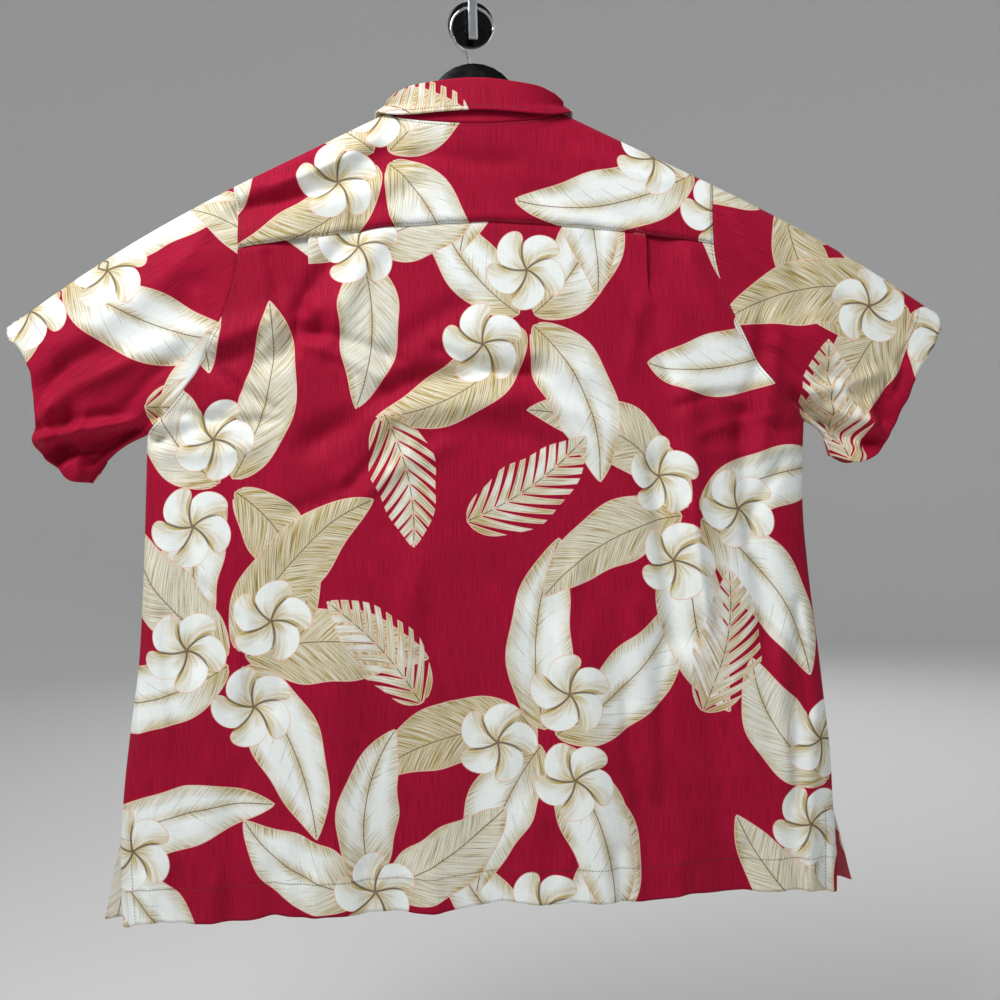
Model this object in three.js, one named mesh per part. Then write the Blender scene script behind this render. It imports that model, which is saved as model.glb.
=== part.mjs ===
// A short-sleeved camp shirt, seen from behind, on a black suit hanger whose wire hook hangs on a
// double-pronged wall hook. Millimetres, +Z up. The wall is the plane y = 0, the shirt hangs in
// front of it towards -Y, and the origin is the centre of the wall hook's back face.

import * as THREE from "three";

// Driving dimensions
const CLOTH = 1.0; // wall of one ply
const COLLAR_PLY = 1.6; // two plies and the interlining between them
const SEAM_HALF_GAP = 0.2; // each sewn piece stops this far from the seam line
const SEAM_GAP = 0.3; // between hard pieces that bear on each other
const HANGER_Y = -30; // the hanger hangs in this plane, parallel to the wall
const NECK = { x: 88, z: -101, backDrop: 20, frontDrop: 84 };
const SHOULDER = { x: 243, z: -175 };
const UNDERARM = { x: 334, z: -421 };
const HEM_Z = -900;
const VENT_TOP_Z = -818;
const YOKE_SEAM = { middle: -217, power: 1.7 };
const YOKE_SIDE = 66; // length of the yoke down the back armhole, from the shoulder line
const YOKE_FORWARD = 36; // and down the front armhole
const YOKE_NECK_SHARE = 0.28; // the share of the front neckline that the yoke takes
const FRONT_OVERLAP = 18; // each front reaches this far past the middle
const FLARE = 24; // how far the free corners of the fronts stand out at the hem

// How deep each layer of the hanging shirt bulges, and over what width it rounds to its edges
const BACK = { sign: -1, depth: 22, rounding: 60, neckSwell: 8 };
const FRONT = { sign: 1, depth: 13, rounding: 24, neckSwell: 5 };
const NECK_SWELL = { wide: 80, high: 50, z: -110 };

// Where the shoulder line and the sleeve's top edge run, from the neck to the cuff
const SHOULDER_LINE = [
  { x: NECK.x, z: NECK.z },
  { x: 132, z: -122 },
  { x: 178, z: -144 },
  { x: SHOULDER.x, z: SHOULDER.z },
];
const SLEEVE_BOW = { top: 6, under: 7 }; // how far its edges bow up between armhole and cuff
const CUFF_LAG = 1.7; // the sleeve's lines crowd towards the underarm at the armhole

const ARMHOLE = [
  { x: SHOULDER.x, z: SHOULDER.z },
  { x: 238.5, z: -205 },
  { x: 238, z: -241 },
  { x: 241, z: -265 },
  { x: 248, z: -289 },
  { x: 257, z: -312 },
  { x: 269, z: -337 },
  { x: 283, z: -363 },
  { x: 299, z: -386 },
  { x: 316, z: -404 },
  { x: UNDERARM.x, z: UNDERARM.z },
];

// The cuff's edge from the top of the sleeve to the underarm seam, seen from behind
const CUFFS = {
  left: [
    { x: 466, z: -313 },
    { x: 461, z: -325 },
    { x: 448, z: -338 },
    { x: 440, z: -357 },
    { x: 437, z: -380 },
    { x: 436, z: -408 },
    { x: 437, z: -432 },
    { x: 425, z: -447 },
    { x: 405, z: -463 },
    { x: 390, z: -468 },
  ],
  right: [
    { x: 481, z: -313 },
    { x: 478, z: -327 },
    { x: 465, z: -350 },
    { x: 450, z: -374 },
    { x: 435, z: -402 },
    { x: 420, z: -430 },
    { x: 410, z: -452 },
    { x: 396, z: -463 },
    { x: 380, z: -464 },
    { x: 363, z: -458 },
  ],
};

// Half widths of the body down the side seams
const SIDE_SEAMS = [
  { z: UNDERARM.z, left: UNDERARM.x, right: UNDERARM.x },
  { z: -460, left: 336, right: 331 },
  { z: -520, left: 339, right: 330 },
  { z: -587, left: 343, right: 335 },
  { z: -650, left: 348, right: 342 },
  { z: -714, left: 358, right: 348 },
  { z: -765, left: 365, right: 353 },
  { z: VENT_TOP_Z, left: 370, right: 354 },
  { z: -858, left: 370, right: 355 },
  { z: HEM_Z, left: 367, right: 353 },
];

// The largest soft folds: x and z of both ends, height out of the cloth (below 0 for a trough),
// half width, and the layer they lie in
const FOLDS = [
  { x0: -232, z0: -205, x1: -95, z1: -150, height: -4, width: 13, layer: BACK },
  { x0: -250, z0: -330, x1: -165, z1: -305, height: 4, width: 15, layer: BACK },
  { x0: -215, z0: -352, x1: -168, z1: -322, height: -4, width: 11, layer: BACK },
  { x0: -165, z0: -430, x1: -85, z1: -382, height: -5, width: 14, layer: BACK },
  { x0: -60, z0: -372, x1: 45, z1: -366, height: -5, width: 13, layer: BACK },
  { x0: -120, z0: -405, x1: 20, z1: -396, height: 4, width: 16, layer: BACK },
  { x0: 172, z0: -470, x1: 192, z1: -640, height: -5, width: 12, layer: BACK },
  { x0: 205, z0: -400, x1: 215, z1: -600, height: 4, width: 15, layer: BACK },
  { x0: 262, z0: -425, x1: 285, z1: -640, height: -4, width: 13, layer: BACK },
  { x0: -300, z0: -440, x1: -290, z1: -640, height: -4, width: 14, layer: BACK },
  { x0: -150, z0: -640, x1: -160, z1: -900, height: 4, width: 26, layer: BACK },
  { x0: -245, z0: -700, x1: -262, z1: -900, height: -4, width: 20, layer: BACK },
  { x0: -20, z0: -700, x1: -10, z1: -900, height: -3, width: 22, layer: BACK },
  { x0: 95, z0: -660, x1: 105, z1: -900, height: 4, width: 24, layer: BACK },
  { x0: 225, z0: -690, x1: 238, z1: -900, height: -3, width: 22, layer: BACK },
  { x0: -352, z0: -420, x1: -428, z1: -438, height: -8, width: 8, layer: BACK },
  { x0: 350, z0: -424, x1: 400, z1: -446, height: -8, width: 8, layer: BACK },
  { x0: 345, z0: -330, x1: 425, z1: -400, height: 3, width: 14, layer: BACK },
  { x0: -290, z0: -260, x1: -400, z1: -330, height: 3, width: 16, layer: BACK },
  { x0: -110, z0: -330, x1: -130, z1: -620, height: 3, width: 20, layer: FRONT },
  { x0: 120, z0: -360, x1: 150, z1: -700, height: -3, width: 20, layer: FRONT },
  { x0: -210, z0: -560, x1: -230, z1: -900, height: 3, width: 24, layer: FRONT },
  { x0: 215, z0: -600, x1: 240, z1: -900, height: 3, width: 24, layer: FRONT },
];

// Knife pleats under the yoke: the middle of the back lies over the sides
const PLEAT = { x: 170, length: 88, pitch: 3.2, settle: 46 };

const BUTTON = { radius: 5.7, thick: 2.6, sides: 24, holeRadius: 0.85, holeSides: 6, holeOut: 1.5 };
const BUTTON_ROWS = { first: -214, pitch: 106, count: 6 };

// Collar: where it stands up from the neckline and where its leaf falls, by the angle round the
// neck from the middle of the back at -90 to the middle of the front at 90. The shares say how
// much of each length runs level, inward for the stand and outward for the leaf.
const COLLAR = [
  { angle: -90, stand: 46, standIn: 0.13, leaf: 34, leafOut: 0.26 },
  { angle: -45, stand: 36, standIn: 0.25, leaf: 33, leafOut: 0.42 },
  { angle: 0, stand: 19, standIn: 0.62, leaf: 28, leafOut: 0.86 },
  { angle: 45, stand: 12, standIn: 0.65, leaf: 46, leafOut: 0.72 },
  { angle: 90, stand: 4, standIn: 0.1, leaf: 76, leafOut: 0.62 },
];
const COLLAR_END = 86.4; // each end stops short of the middle of the front, in degrees
const COLLAR_FOLD = 2.1; // outer radius of the fold
const COLLAR_CLEAR = 0.5; // between the leaf or stand and what it lies by

const HANGER = {
  halfThick: 5,
  edge: 2.2, // rounding of the edges
  humpRadius: 46,
  humpTop: -51,
  shoulderX: 42, // where the hump runs into the arms
  armEnd: 219,
  armDrop: 3, // below the shoulder line
  neckDip: { x: 85, drop: 4, width: 13 }, // lower still under the neck seam
  depthIn: 30,
  depthOut: 18,
  archTop: -103,
};
const WIRE = {
  inPlane: 1.4, // half of its width seen from the front
  inDepth: 2.3, // and seen from the side
  loop: { x: -0.5, z: -15, radius: 21.5, from: -10, to: 214 },
  stem: [
    { x: -16, z: -31.5 },
    { x: -7.5, z: -39 },
    { x: -5, z: -46 },
    { x: -4.6, z: -51.05 },
  ],
};
const ROSE = { radius: 24, thick: 7, chamfer: 1.6 };
const PRONG = {
  halfWidth: 4.6,
  armThick: 6,
  barFrom: 37, // from the wall to the upright bar
  barThick: 4.5,
  barTop: 42,
  barBottom: -29,
  fillet: 4,
  edge: 0.8,
};

const COLORS = {
  crimson: 0x9c1530,
  black: 0x141416,
  chrome: 0xc8ccd0,
  darkGloss: 0x1b1718,
  shell: 0xe9e0cf,
};

// Small helpers
const lerp = (a, b, t) => a + (b - a) * t;
const clamp01 = (t) => Math.min(Math.max(t, 0), 1);
const smooth = (t) => clamp01(t) ** 2 * (3 - 2 * clamp01(t));
const mirror = (side, point) => ({ x: side * point.x, z: point.z });
const sideName = (side) => (side < 0 ? "left" : "right");

// A smooth curve through table rows that have x and z, as a function of the share of its length
function curveThrough(rows, stepsPerSpan = 12) {
  const at = (i) => rows[Math.min(Math.max(i, 0), rows.length - 1)];
  const points = [];
  for (let i = 0; i < rows.length - 1; i++) {
    for (let k = 0; k < stepsPerSpan; k++) {
      points.push(spanPoint(at(i - 1), at(i), at(i + 1), at(i + 2), k / stepsPerSpan));
    }
  }
  points.push(at(rows.length - 1));
  const lengths = [0];
  for (let i = 1; i < points.length; i++) {
    const step = Math.hypot(points[i].x - points[i - 1].x, points[i].z - points[i - 1].z);
    lengths.push(lengths[i - 1] + step);
  }
  const total = lengths[lengths.length - 1];
  const point = (share) => {
    const wanted = clamp01(share) * total;
    let i = 1;
    while (i < lengths.length - 1 && lengths[i] < wanted) i++;
    const t = (wanted - lengths[i - 1]) / (lengths[i] - lengths[i - 1]);
    return {
      x: lerp(points[i - 1].x, points[i].x, t),
      z: lerp(points[i - 1].z, points[i].z, t),
    };
  };
  return { point, total };
}

// Catmull-Rom point between b and c
function spanPoint(a, b, c, d, t) {
  const blend = (p, q, r, s) =>
    0.5 *
    (2 * q +
      (r - p) * t +
      (2 * p - 5 * q + 4 * r - s) * t * t +
      (3 * q - p - 3 * r + s) * t * t * t);
  return { x: blend(a.x, b.x, c.x, d.x), z: blend(a.z, b.z, c.z, d.z) };
}

// A table's column read at z, straight between its rows, which run downwards
function columnAt(rows, column, z) {
  let i = 1;
  while (i < rows.length - 1 && rows[i].z > z) i++;
  const t = clamp01((z - rows[i - 1].z) / (rows[i].z - rows[i - 1].z));
  return lerp(rows[i - 1][column], rows[i][column], t);
}

const armhole = curveThrough(ARMHOLE);
const shoulderLine = curveThrough(SHOULDER_LINE);
const cuffs = {
  left: curveThrough(CUFFS.left),
  right: curveThrough(CUFFS.right),
};

// A point of the sleeve in the x z plane: down is the share round from the top edge to the
// underarm seam, along the share from the armhole to the cuff
function sleevePoint(side, down, along) {
  const inner = armhole.point(down);
  const outer = cuffs[sideName(side)].point(down ** CUFF_LAG);
  const rise = lerp(SLEEVE_BOW.top, SLEEVE_BOW.under, down) * Math.sin(Math.PI * along);
  return mirror(side, {
    x: lerp(inner.x, outer.x, along) + rise * 0.5,
    z: lerp(inner.z, outer.z, along) + rise * 0.86,
  });
}

// The closed edges of the shirt on one side: shoulder line, sleeve top, underarm and side seam
function closedEdges(side) {
  const steps = Array.from({ length: 13 }, (_, i) => i / 12);
  const shoulder = steps.map((t) => mirror(side, shoulderLine.point(t)));
  const top = steps.map((t) => sleevePoint(side, 0, t));
  const under = steps.map((t) => sleevePoint(side, 1, t));
  const seam = SIDE_SEAMS.map((row) => ({ x: side * row[sideName(side)], z: row.z }));
  return [shoulder, top, under, seam];
}
const EDGES = { left: closedEdges(-1), right: closedEdges(1) };

function distanceToEdges(x, z) {
  let nearest = Infinity;
  for (const line of EDGES[sideName(x)]) {
    for (let i = 1; i < line.length; i++) {
      const a = line[i - 1];
      const b = line[i];
      const dx = b.x - a.x;
      const dz = b.z - a.z;
      const t = clamp01(((x - a.x) * dx + (z - a.z) * dz) / (dx * dx + dz * dz));
      nearest = Math.min(nearest, Math.hypot(x - a.x - t * dx, z - a.z - t * dz));
    }
  }
  return nearest;
}

// The height of all soft folds of a layer at a place
function foldHeight(x, z, layer) {
  let height = 0;
  for (const fold of FOLDS) {
    if (fold.layer !== layer) continue;
    const dx = fold.x1 - fold.x0;
    const dz = fold.z1 - fold.z0;
    const length = Math.hypot(dx, dz);
    const along = ((x - fold.x0) * dx + (z - fold.z0) * dz) / length;
    const across = ((x - fold.x0) * dz - (z - fold.z0) * dx) / length;
    const beyond = Math.max(-along, along - length, 0);
    const fade = Math.exp(-((beyond / (1.5 * fold.width)) ** 2));
    height += fold.height * fade * Math.exp(-((across / fold.width) ** 2));
  }
  return height;
}

// How far below the top of the side vents a place is, from 0 to 1
const ventShare = (z) => clamp01((VENT_TOP_Z - z) / (VENT_TOP_Z - HEM_Z));

// The outer face of a layer over a place of the x z plane
function surfaceY(x, z, layer) {
  const fromEdge = distanceToEdges(x, z);
  const t = clamp01((fromEdge + 3 * ventShare(z)) / layer.rounding);
  const swell =
    layer.neckSwell *
    Math.exp(-((x / NECK_SWELL.wide) ** 2) - ((z - NECK_SWELL.z) / NECK_SWELL.high) ** 2);
  const bulge = (layer.depth + swell) * Math.sqrt(t * (2 - t));
  const folds = foldHeight(x, z, layer) * smooth((fromEdge - 2) / 16);
  return HANGER_Y + layer.sign * (SEAM_HALF_GAP + bulge + folds);
}

const onLayer = (layer, { x, z }, out = 0) =>
  new THREE.Vector3(x, surfaceY(x, z, layer) + layer.sign * out, z);

const yokeSeamEnd = armhole.point(YOKE_SIDE / armhole.total);
const yokeSeamZ = (x) =>
  lerp(YOKE_SEAM.middle, yokeSeamEnd.z, (Math.abs(x) / yokeSeamEnd.x) ** YOKE_SEAM.power);

// A place on the armhole, moved square to it: out towards the sleeve above 0, else to the body
function armholePlace(share, out) {
  const place = armhole.point(share);
  const before = armhole.point(share - 0.01);
  const after = armhole.point(share + 0.01);
  const length = Math.hypot(after.x - before.x, after.z - before.z);
  return {
    x: place.x - (out * (after.z - before.z)) / length,
    z: place.z + (out * (after.x - before.x)) / length,
  };
}

// The front edge of the neck hole, from the shoulder line at 0 to the middle at 1
function frontNeck(share) {
  const angle = (share * Math.PI) / 2;
  return { x: NECK.x * Math.cos(angle), z: NECK.z - NECK.frontDrop * Math.sin(angle) };
}
const yokeNeckEnd = frontNeck(YOKE_NECK_SHARE);
const frontSeamEnd = armhole.point(YOKE_FORWARD / armhole.total);
const frontSeamZ = (x) =>
  lerp(yokeNeckEnd.z, frontSeamEnd.z, (x - yokeNeckEnd.x) / (frontSeamEnd.x - yokeNeckEnd.x));

// Sheets: open indexed surfaces of outer points that become walls
class Sheet {
  constructor() {
    this.points = [];
    this.triangles = [];
    this.levelNormals = new Set(); // points of closed edges, whose wall runs sideways
    this.uprightNormals = new Set(); // points of crosswise seams, whose wall has no slope
  }

  add(point) {
    this.points.push(point);
    return this.points.length - 1;
  }

  // rows of point indices; the faces look towards -Y where columns run to +X and rows run down
  quads(rows, closed = false, flip = false) {
    for (let j = 0; j + 1 < rows.length; j++) {
      const width = rows[j].length;
      for (let i = 0; i + 1 < width + (closed ? 1 : 0); i++) {
        const k = (i + 1) % width;
        const [a, b, c, d] = [rows[j][i], rows[j + 1][i], rows[j + 1][k], rows[j][k]];
        for (const [p, q, r] of [
          [a, b, c],
          [a, c, d],
        ]) {
          if (p === q || q === r || p === r) continue;
          this.triangles.push(flip ? [p, r, q] : [p, q, r]);
        }
      }
    }
  }

  normals() {
    const normals = this.points.map(() => new THREE.Vector3());
    for (const [a, b, c] of this.triangles) {
      const edge = new THREE.Vector3().subVectors(this.points[b], this.points[a]);
      const other = new THREE.Vector3().subVectors(this.points[c], this.points[a]);
      const face = edge.cross(other).normalize();
      for (const i of [a, b, c]) normals[i].add(face);
    }
    for (const i of this.levelNormals) normals[i].y = 0;
    for (const i of this.uprightNormals) normals[i].z = 0;
    return normals.map((n) => n.normalize());
  }

  // The wall between these outer points and the same points moved in by its thickness
  wall(thickness) {
    const normals = this.normals();
    const count = this.points.length;
    const all = [
      ...this.points,
      ...this.points.map((p, i) => p.clone().addScaledVector(normals[i], -thickness)),
    ];
    const faces = [...this.triangles];
    const edges = new Map();
    for (const [a, b, c] of this.triangles) {
      faces.push([a + count, c + count, b + count]);
      for (const [p, q] of [
        [a, b],
        [b, c],
        [c, a],
      ]) {
        if (!edges.delete(`${q},${p}`)) edges.set(`${p},${q}`, [p, q]);
      }
    }
    for (const [p, q] of edges.values()) {
      faces.push([q, p, p + count], [q, p + count, q + count]);
    }
    return indexedGeometry(all, faces);
  }
}

function indexedGeometry(points, faces) {
  const geometry = new THREE.BufferGeometry();
  const positions = new Float32Array(points.flatMap((p) => [p.x, p.y, p.z]));
  geometry.setAttribute("position", new THREE.BufferAttribute(positions, 3));
  geometry.setIndex(faces.flat());
  geometry.computeVertexNormals();
  return geometry;
}

// Where the armhole is sampled, as shares of its length, so that sleeve and body share points
const ridgeSteps = [0, 1.5, 5, 12, 24, 41];
const shareOf = (distance) => distance / armhole.total;
const belowSeam = [0.13, 0.27, 0.42, 0.57, 0.71, 0.83, 0.92, 0.975, 1];
const BACK_YOKE_SHARES = [...ridgeSteps, YOKE_SIDE].map(shareOf);
const FRONT_YOKE_SHARES = [...ridgeSteps.slice(0, 5), YOKE_FORWARD].map(shareOf);
const rest = (start) => belowSeam.map((t) => lerp(shareOf(start), 1, t));
const BACK_SHARES = [...BACK_YOKE_SHARES, ...rest(YOKE_SIDE)];
const FRONT_SHARES = [...FRONT_YOKE_SHARES, ...rest(YOKE_FORWARD)];
const ROWS_BELOW_UNDERARM = [-428, -448, -480, -520, -562, -604, -646, -688, -730, -774];
const VENT_ROWS = [VENT_TOP_Z, -846, -874, HEM_Z];
const SIDE_ROWS = [...ROWS_BELOW_UNDERARM, ...VENT_ROWS];

// Yoke: the back part up to the shoulder line or the neck, and one part down each front
const SHOULDER_COLUMNS = [98, 112, 130, 150, 172, 194, 214, 230];
const NECK_COLUMNS = [0, 24, 46, 62, 74, 82, 86.4];
const backNeckZ = (x) => NECK.z - NECK.backDrop * Math.sqrt(1 - Math.min(Math.abs(x) / NECK.x, 1) ** 2);

const shoulderZ = (x) => {
  const share = clamp01((Math.abs(x) - NECK.x) / (SHOULDER.x - NECK.x));
  return shoulderLine.point(share).z;
};

function yokeTop(x) {
  const half = Math.abs(x);
  if (half < NECK.x) return { x, z: backNeckZ(x), ridge: false };
  return { x, z: shoulderZ(x), ridge: true };
}

// A point of the body's edge along the armhole; up lifts it off a seam across it
function bodyEdgePoint(side, layer, share, up = 0) {
  const place = mirror(side, armholePlace(share, -SEAM_HALF_GAP));
  place.z += up;
  if (share === 0) return new THREE.Vector3(place.x, HANGER_Y, place.z);
  return onLayer(layer, place);
}

function yokeSheet() {
  const sheet = new Sheet();
  const half = [...NECK_COLUMNS, NECK.x, ...SHOULDER_COLUMNS];
  const columns = [...half.slice(1).map((x) => -x).reverse(), ...half];
  const steps = [...ridgeSteps, YOKE_SIDE];
  const last = steps.length - 1;
  const backPoint = (x, j) => {
    const top = yokeTop(x);
    const seamZ = yokeSeamZ(x) + SEAM_HALF_GAP;
    const share = steps[j] / YOKE_SIDE;
    const down = lerp(steps[j], share * (top.z - seamZ), smooth(share));
    if (top.ridge && j === 0) return new THREE.Vector3(x, HANGER_Y, top.z);
    return onLayer(BACK, { x, z: j === last ? seamZ : top.z - down });
  };
  const rows = steps.map((step, j) => {
    const up = j === last ? SEAM_HALF_GAP : 0;
    return [
      sheet.add(bodyEdgePoint(-1, BACK, shareOf(step), up)),
      ...columns.map((x) => sheet.add(backPoint(x, j))),
      sheet.add(bodyEdgePoint(1, BACK, shareOf(step), up)),
    ];
  });
  sheet.quads(rows);
  rows[last].forEach((i) => sheet.uprightNormals.add(i));
  for (const side of [-1, 1]) addYokeFront(sheet, side, columns, rows[0]);
  return sheet;
}

// The yoke's part that comes forward over one shoulder, hung on the shoulder line's points
function addYokeFront(sheet, side, columns, ridgeRow) {
  const places = [];
  columns.forEach((x, i) => {
    if (x * side >= NECK.x) places.push({ half: Math.abs(x), index: ridgeRow[i + 1] });
  });
  places.push({ half: SHOULDER.x, index: ridgeRow[side < 0 ? 0 : ridgeRow.length - 1] });
  places.sort((a, b) => a.half - b.half);
  const steps = [...ridgeSteps.slice(0, 5), YOKE_FORWARD];
  const last = steps.length - 1;
  const rows = steps.map((step, j) =>
    places.map((place, i) => {
      if (j === 0) return place.index;
      const up = j === last ? SEAM_HALF_GAP : 0;
      if (i === places.length - 1) return sheet.add(bodyEdgePoint(side, FRONT, shareOf(step), up));
      const share = step / YOKE_FORWARD;
      const neck = frontNeck(YOKE_NECK_SHARE * share);
      const nearNeck = 1 - clamp01((place.half - NECK.x) / 60);
      const x = place.half - (NECK.x - neck.x) * nearNeck;
      const drop = shoulderZ(place.half) - frontSeamZ(x);
      const z = shoulderZ(place.half) - lerp(step, share * drop, smooth(share)) + up;
      const onNeck = i === 0 && j < last;
      return sheet.add(onLayer(FRONT, { x: side * x, z: onNeck ? neck.z : z }));
    }),
  );
  rows[last].forEach((i) => sheet.uprightNormals.add(i));
  sheet.quads(rows, false, side > 0);
}

// Back: pleated below the yoke, cut in at the armholes, and free at the side vents
const BACK_COLUMNS = [0, 0.17, 0.33, 0.48, 0.6];
const OUTER_COLUMNS = [0.86, 0.93, 0.97, 0.992, 1];
const PLEAT_COLUMNS = [
  { folded: -9, flat: -14, layer: 0 },
  { folded: -2.2, flat: -10, layer: 0 },
  { folded: 0, flat: -6.5, layer: 0.5 },
  { folded: -2.2, flat: -3, layer: 1 },
  { folded: -11.8, flat: 3, layer: 1 },
  { folded: -14, flat: 6.5, layer: 1.5 },
  { folded: -11.8, flat: 10, layer: 2 },
  { folded: 3, flat: 16, layer: 2 },
  { folded: 16, flat: 24, layer: 1.7 },
];

// The pleats' folding at a depth below the yoke seam: 1 where they are sewn down, 0 where opened
const pleatShare = (below) => 1 - smooth(below / PLEAT.length);

function backPoint(side, column, row) {
  const { edge, middleZ } = row;
  const width = edge.x;
  const folding = pleatShare(YOKE_SEAM.middle - middleZ);
  const layerShift = smooth(folding / 0.5);
  const pleatAt = lerp(0.72 * width, PLEAT.x, folding);
  let x = column.share * width;
  let inward = 0;
  if (column.pleat) {
    x = pleatAt + lerp(column.pleat.flat, column.pleat.folded, folding);
    inward = column.pleat.layer * PLEAT.pitch * layerShift;
  } else if (x > pleatAt) {
    const ease = clamp01(1 - (x - pleatAt) / PLEAT.settle);
    inward = 2 * PLEAT.pitch * layerShift * ease * clamp01((width - x) / 8);
  }
  const straight = lerp(middleZ, edge.z, (x / width) ** YOKE_SEAM.power);
  const z = row.isSeam ? yokeSeamZ(x) - SEAM_HALF_GAP : straight;
  return onLayer(BACK, { x: side * x, z: column.share === 1 ? edge.z : z }, -inward);
}

const halfColumns = [
  ...BACK_COLUMNS.map((share) => ({ share })),
  ...PLEAT_COLUMNS.map((pleat) => ({ pleat })),
  ...OUTER_COLUMNS.map((share) => ({ share })),
];

// A row of the body on one side: where it meets the armhole or the side seam
function bodyRows(side, shares, seamZ) {
  const rows = shares.map((share, j) => {
    const level = (share - shares[0]) / (1 - shares[0]);
    const isSeam = j === 0;
    const edge = armholePlace(share, -SEAM_HALF_GAP);
    if (isSeam) edge.z -= SEAM_HALF_GAP;
    const middleZ = lerp(seamZ, UNDERARM.z, level ** 0.9);
    return { edge, middleZ, isSeam, onSeam: share === 1 };
  });
  for (const z of SIDE_ROWS) {
    const x = columnAt(SIDE_SEAMS, sideName(side), z);
    rows.push({ edge: { x, z }, middleZ: z, isSeam: false, onSeam: z >= VENT_TOP_Z });
  }
  return rows;
}

function backSheet() {
  const sheet = new Sheet();
  const shares = BACK_SHARES.slice(BACK_YOKE_SHARES.length - 1);
  const [leftRows, rightRows] = [-1, 1].map((side) => bodyRows(side, shares, YOKE_SEAM.middle));
  const rows = leftRows.map((leftRow, j) => {
    const leftHalf = halfColumns.slice(1).reverse();
    const line = [
      ...leftHalf.map((column) => sheet.add(backPoint(-1, column, leftRow))),
      ...halfColumns.map((column) => sheet.add(backPoint(1, column, rightRows[j]))),
    ];
    if (leftRow.onSeam) [line[0], line[line.length - 1]].forEach((i) => sheet.levelNormals.add(i));
    return line;
  });
  rows[0].forEach((i) => sheet.uprightNormals.add(i));
  sheet.quads(rows);
  return sheet;
}

// Fronts: the wearer's left one, at -x, buttons over the other
const FRONT_COLUMNS = [0, 0.1, 0.22, 0.36, 0.5, 0.64, 0.77, 0.87, 0.935, 0.972, 0.992, 1];
const LAP = 1.8; // how far the lapping front stands off the one below it
const lapHeight = (x) => LAP * smooth((40 - x) / 22);

function frontSheet(side) {
  const sheet = new Sheet();
  const shares = FRONT_SHARES.slice(FRONT_YOKE_SHARES.length - 1);
  const topMiddle = NECK.z - NECK.frontDrop;
  const rows = bodyRows(side, shares, topMiddle).map((row) => {
    const flare = FLARE * ventShare(row.edge.z);
    const level = clamp01((topMiddle - row.middleZ) / (topMiddle - HEM_Z));
    const line = FRONT_COLUMNS.map((share) => {
      const x = lerp(-FRONT_OVERLAP, row.edge.x + flare, share);
      const top = frontTopZ(Math.max(x, 0)) - SEAM_HALF_GAP;
      const straight = lerp(row.middleZ, row.edge.z, clamp01(x / row.edge.x) ** 1.7);
      const z = row.isSeam ? top : lerp(lerp(top, HEM_Z, level), straight, smooth(level / 0.35));
      const place = { x: side * x, z: share === 1 ? row.edge.z : z };
      return sheet.add(onLayer(FRONT, place, side < 0 ? lapHeight(x) : 0));
    });
    if (row.onSeam) sheet.levelNormals.add(line[line.length - 1]);
    if (row.isSeam) line.forEach((i) => sheet.uprightNormals.add(i));
    return line;
  });
  sheet.quads(rows, false, side > 0);
  return sheet;
}

// The top edge of a front over x: the neckline as far as the yoke, then the yoke's front seam
function frontTopZ(x) {
  if (x > yokeNeckEnd.x) return frontSeamZ(x);
  return NECK.z - NECK.frontDrop * Math.sqrt(1 - (x / NECK.x) ** 2);
}

// Sleeves: closed tubes from the armhole to the cuff
const SLEEVE_ROWS = [0, 0.1, 0.24, 0.4, 0.56, 0.72, 0.87, 1];

function sleeveSheet(side) {
  const sheet = new Sheet();
  const ring = [
    ...BACK_SHARES.map((share) => ({ share, layer: BACK })),
    ...FRONT_SHARES.slice(1, -1)
      .reverse()
      .map((share) => ({ share, layer: FRONT })),
  ];
  const rows = SLEEVE_ROWS.map((along) =>
    ring.map(({ share, layer }) => {
      const start = mirror(side, armholePlace(share, SEAM_HALF_GAP));
      const place = along === 0 ? start : sleevePoint(side, share, along);
      if (share > 0 && share < 1) return sheet.add(onLayer(layer, place));
      return sheet.add(new THREE.Vector3(place.x, HANGER_Y, place.z));
    }),
  );
  sheet.quads(rows, true, side > 0);
  return sheet;
}

// A column of a table read at a key between its evenly spaced rows, on a smooth curve
function smoothColumn(rows, key, column, at) {
  const step = rows[1][key] - rows[0][key];
  const place = Math.min(Math.max((at - rows[0][key]) / step, 0), rows.length - 1 - 1e-9);
  const i = Math.floor(place);
  const row = (k) => ({ x: rows[Math.min(Math.max(k, 0), rows.length - 1)][column], z: 0 });
  return spanPoint(row(i - 1), row(i), row(i + 1), row(i + 2), place - i).x;
}

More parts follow.
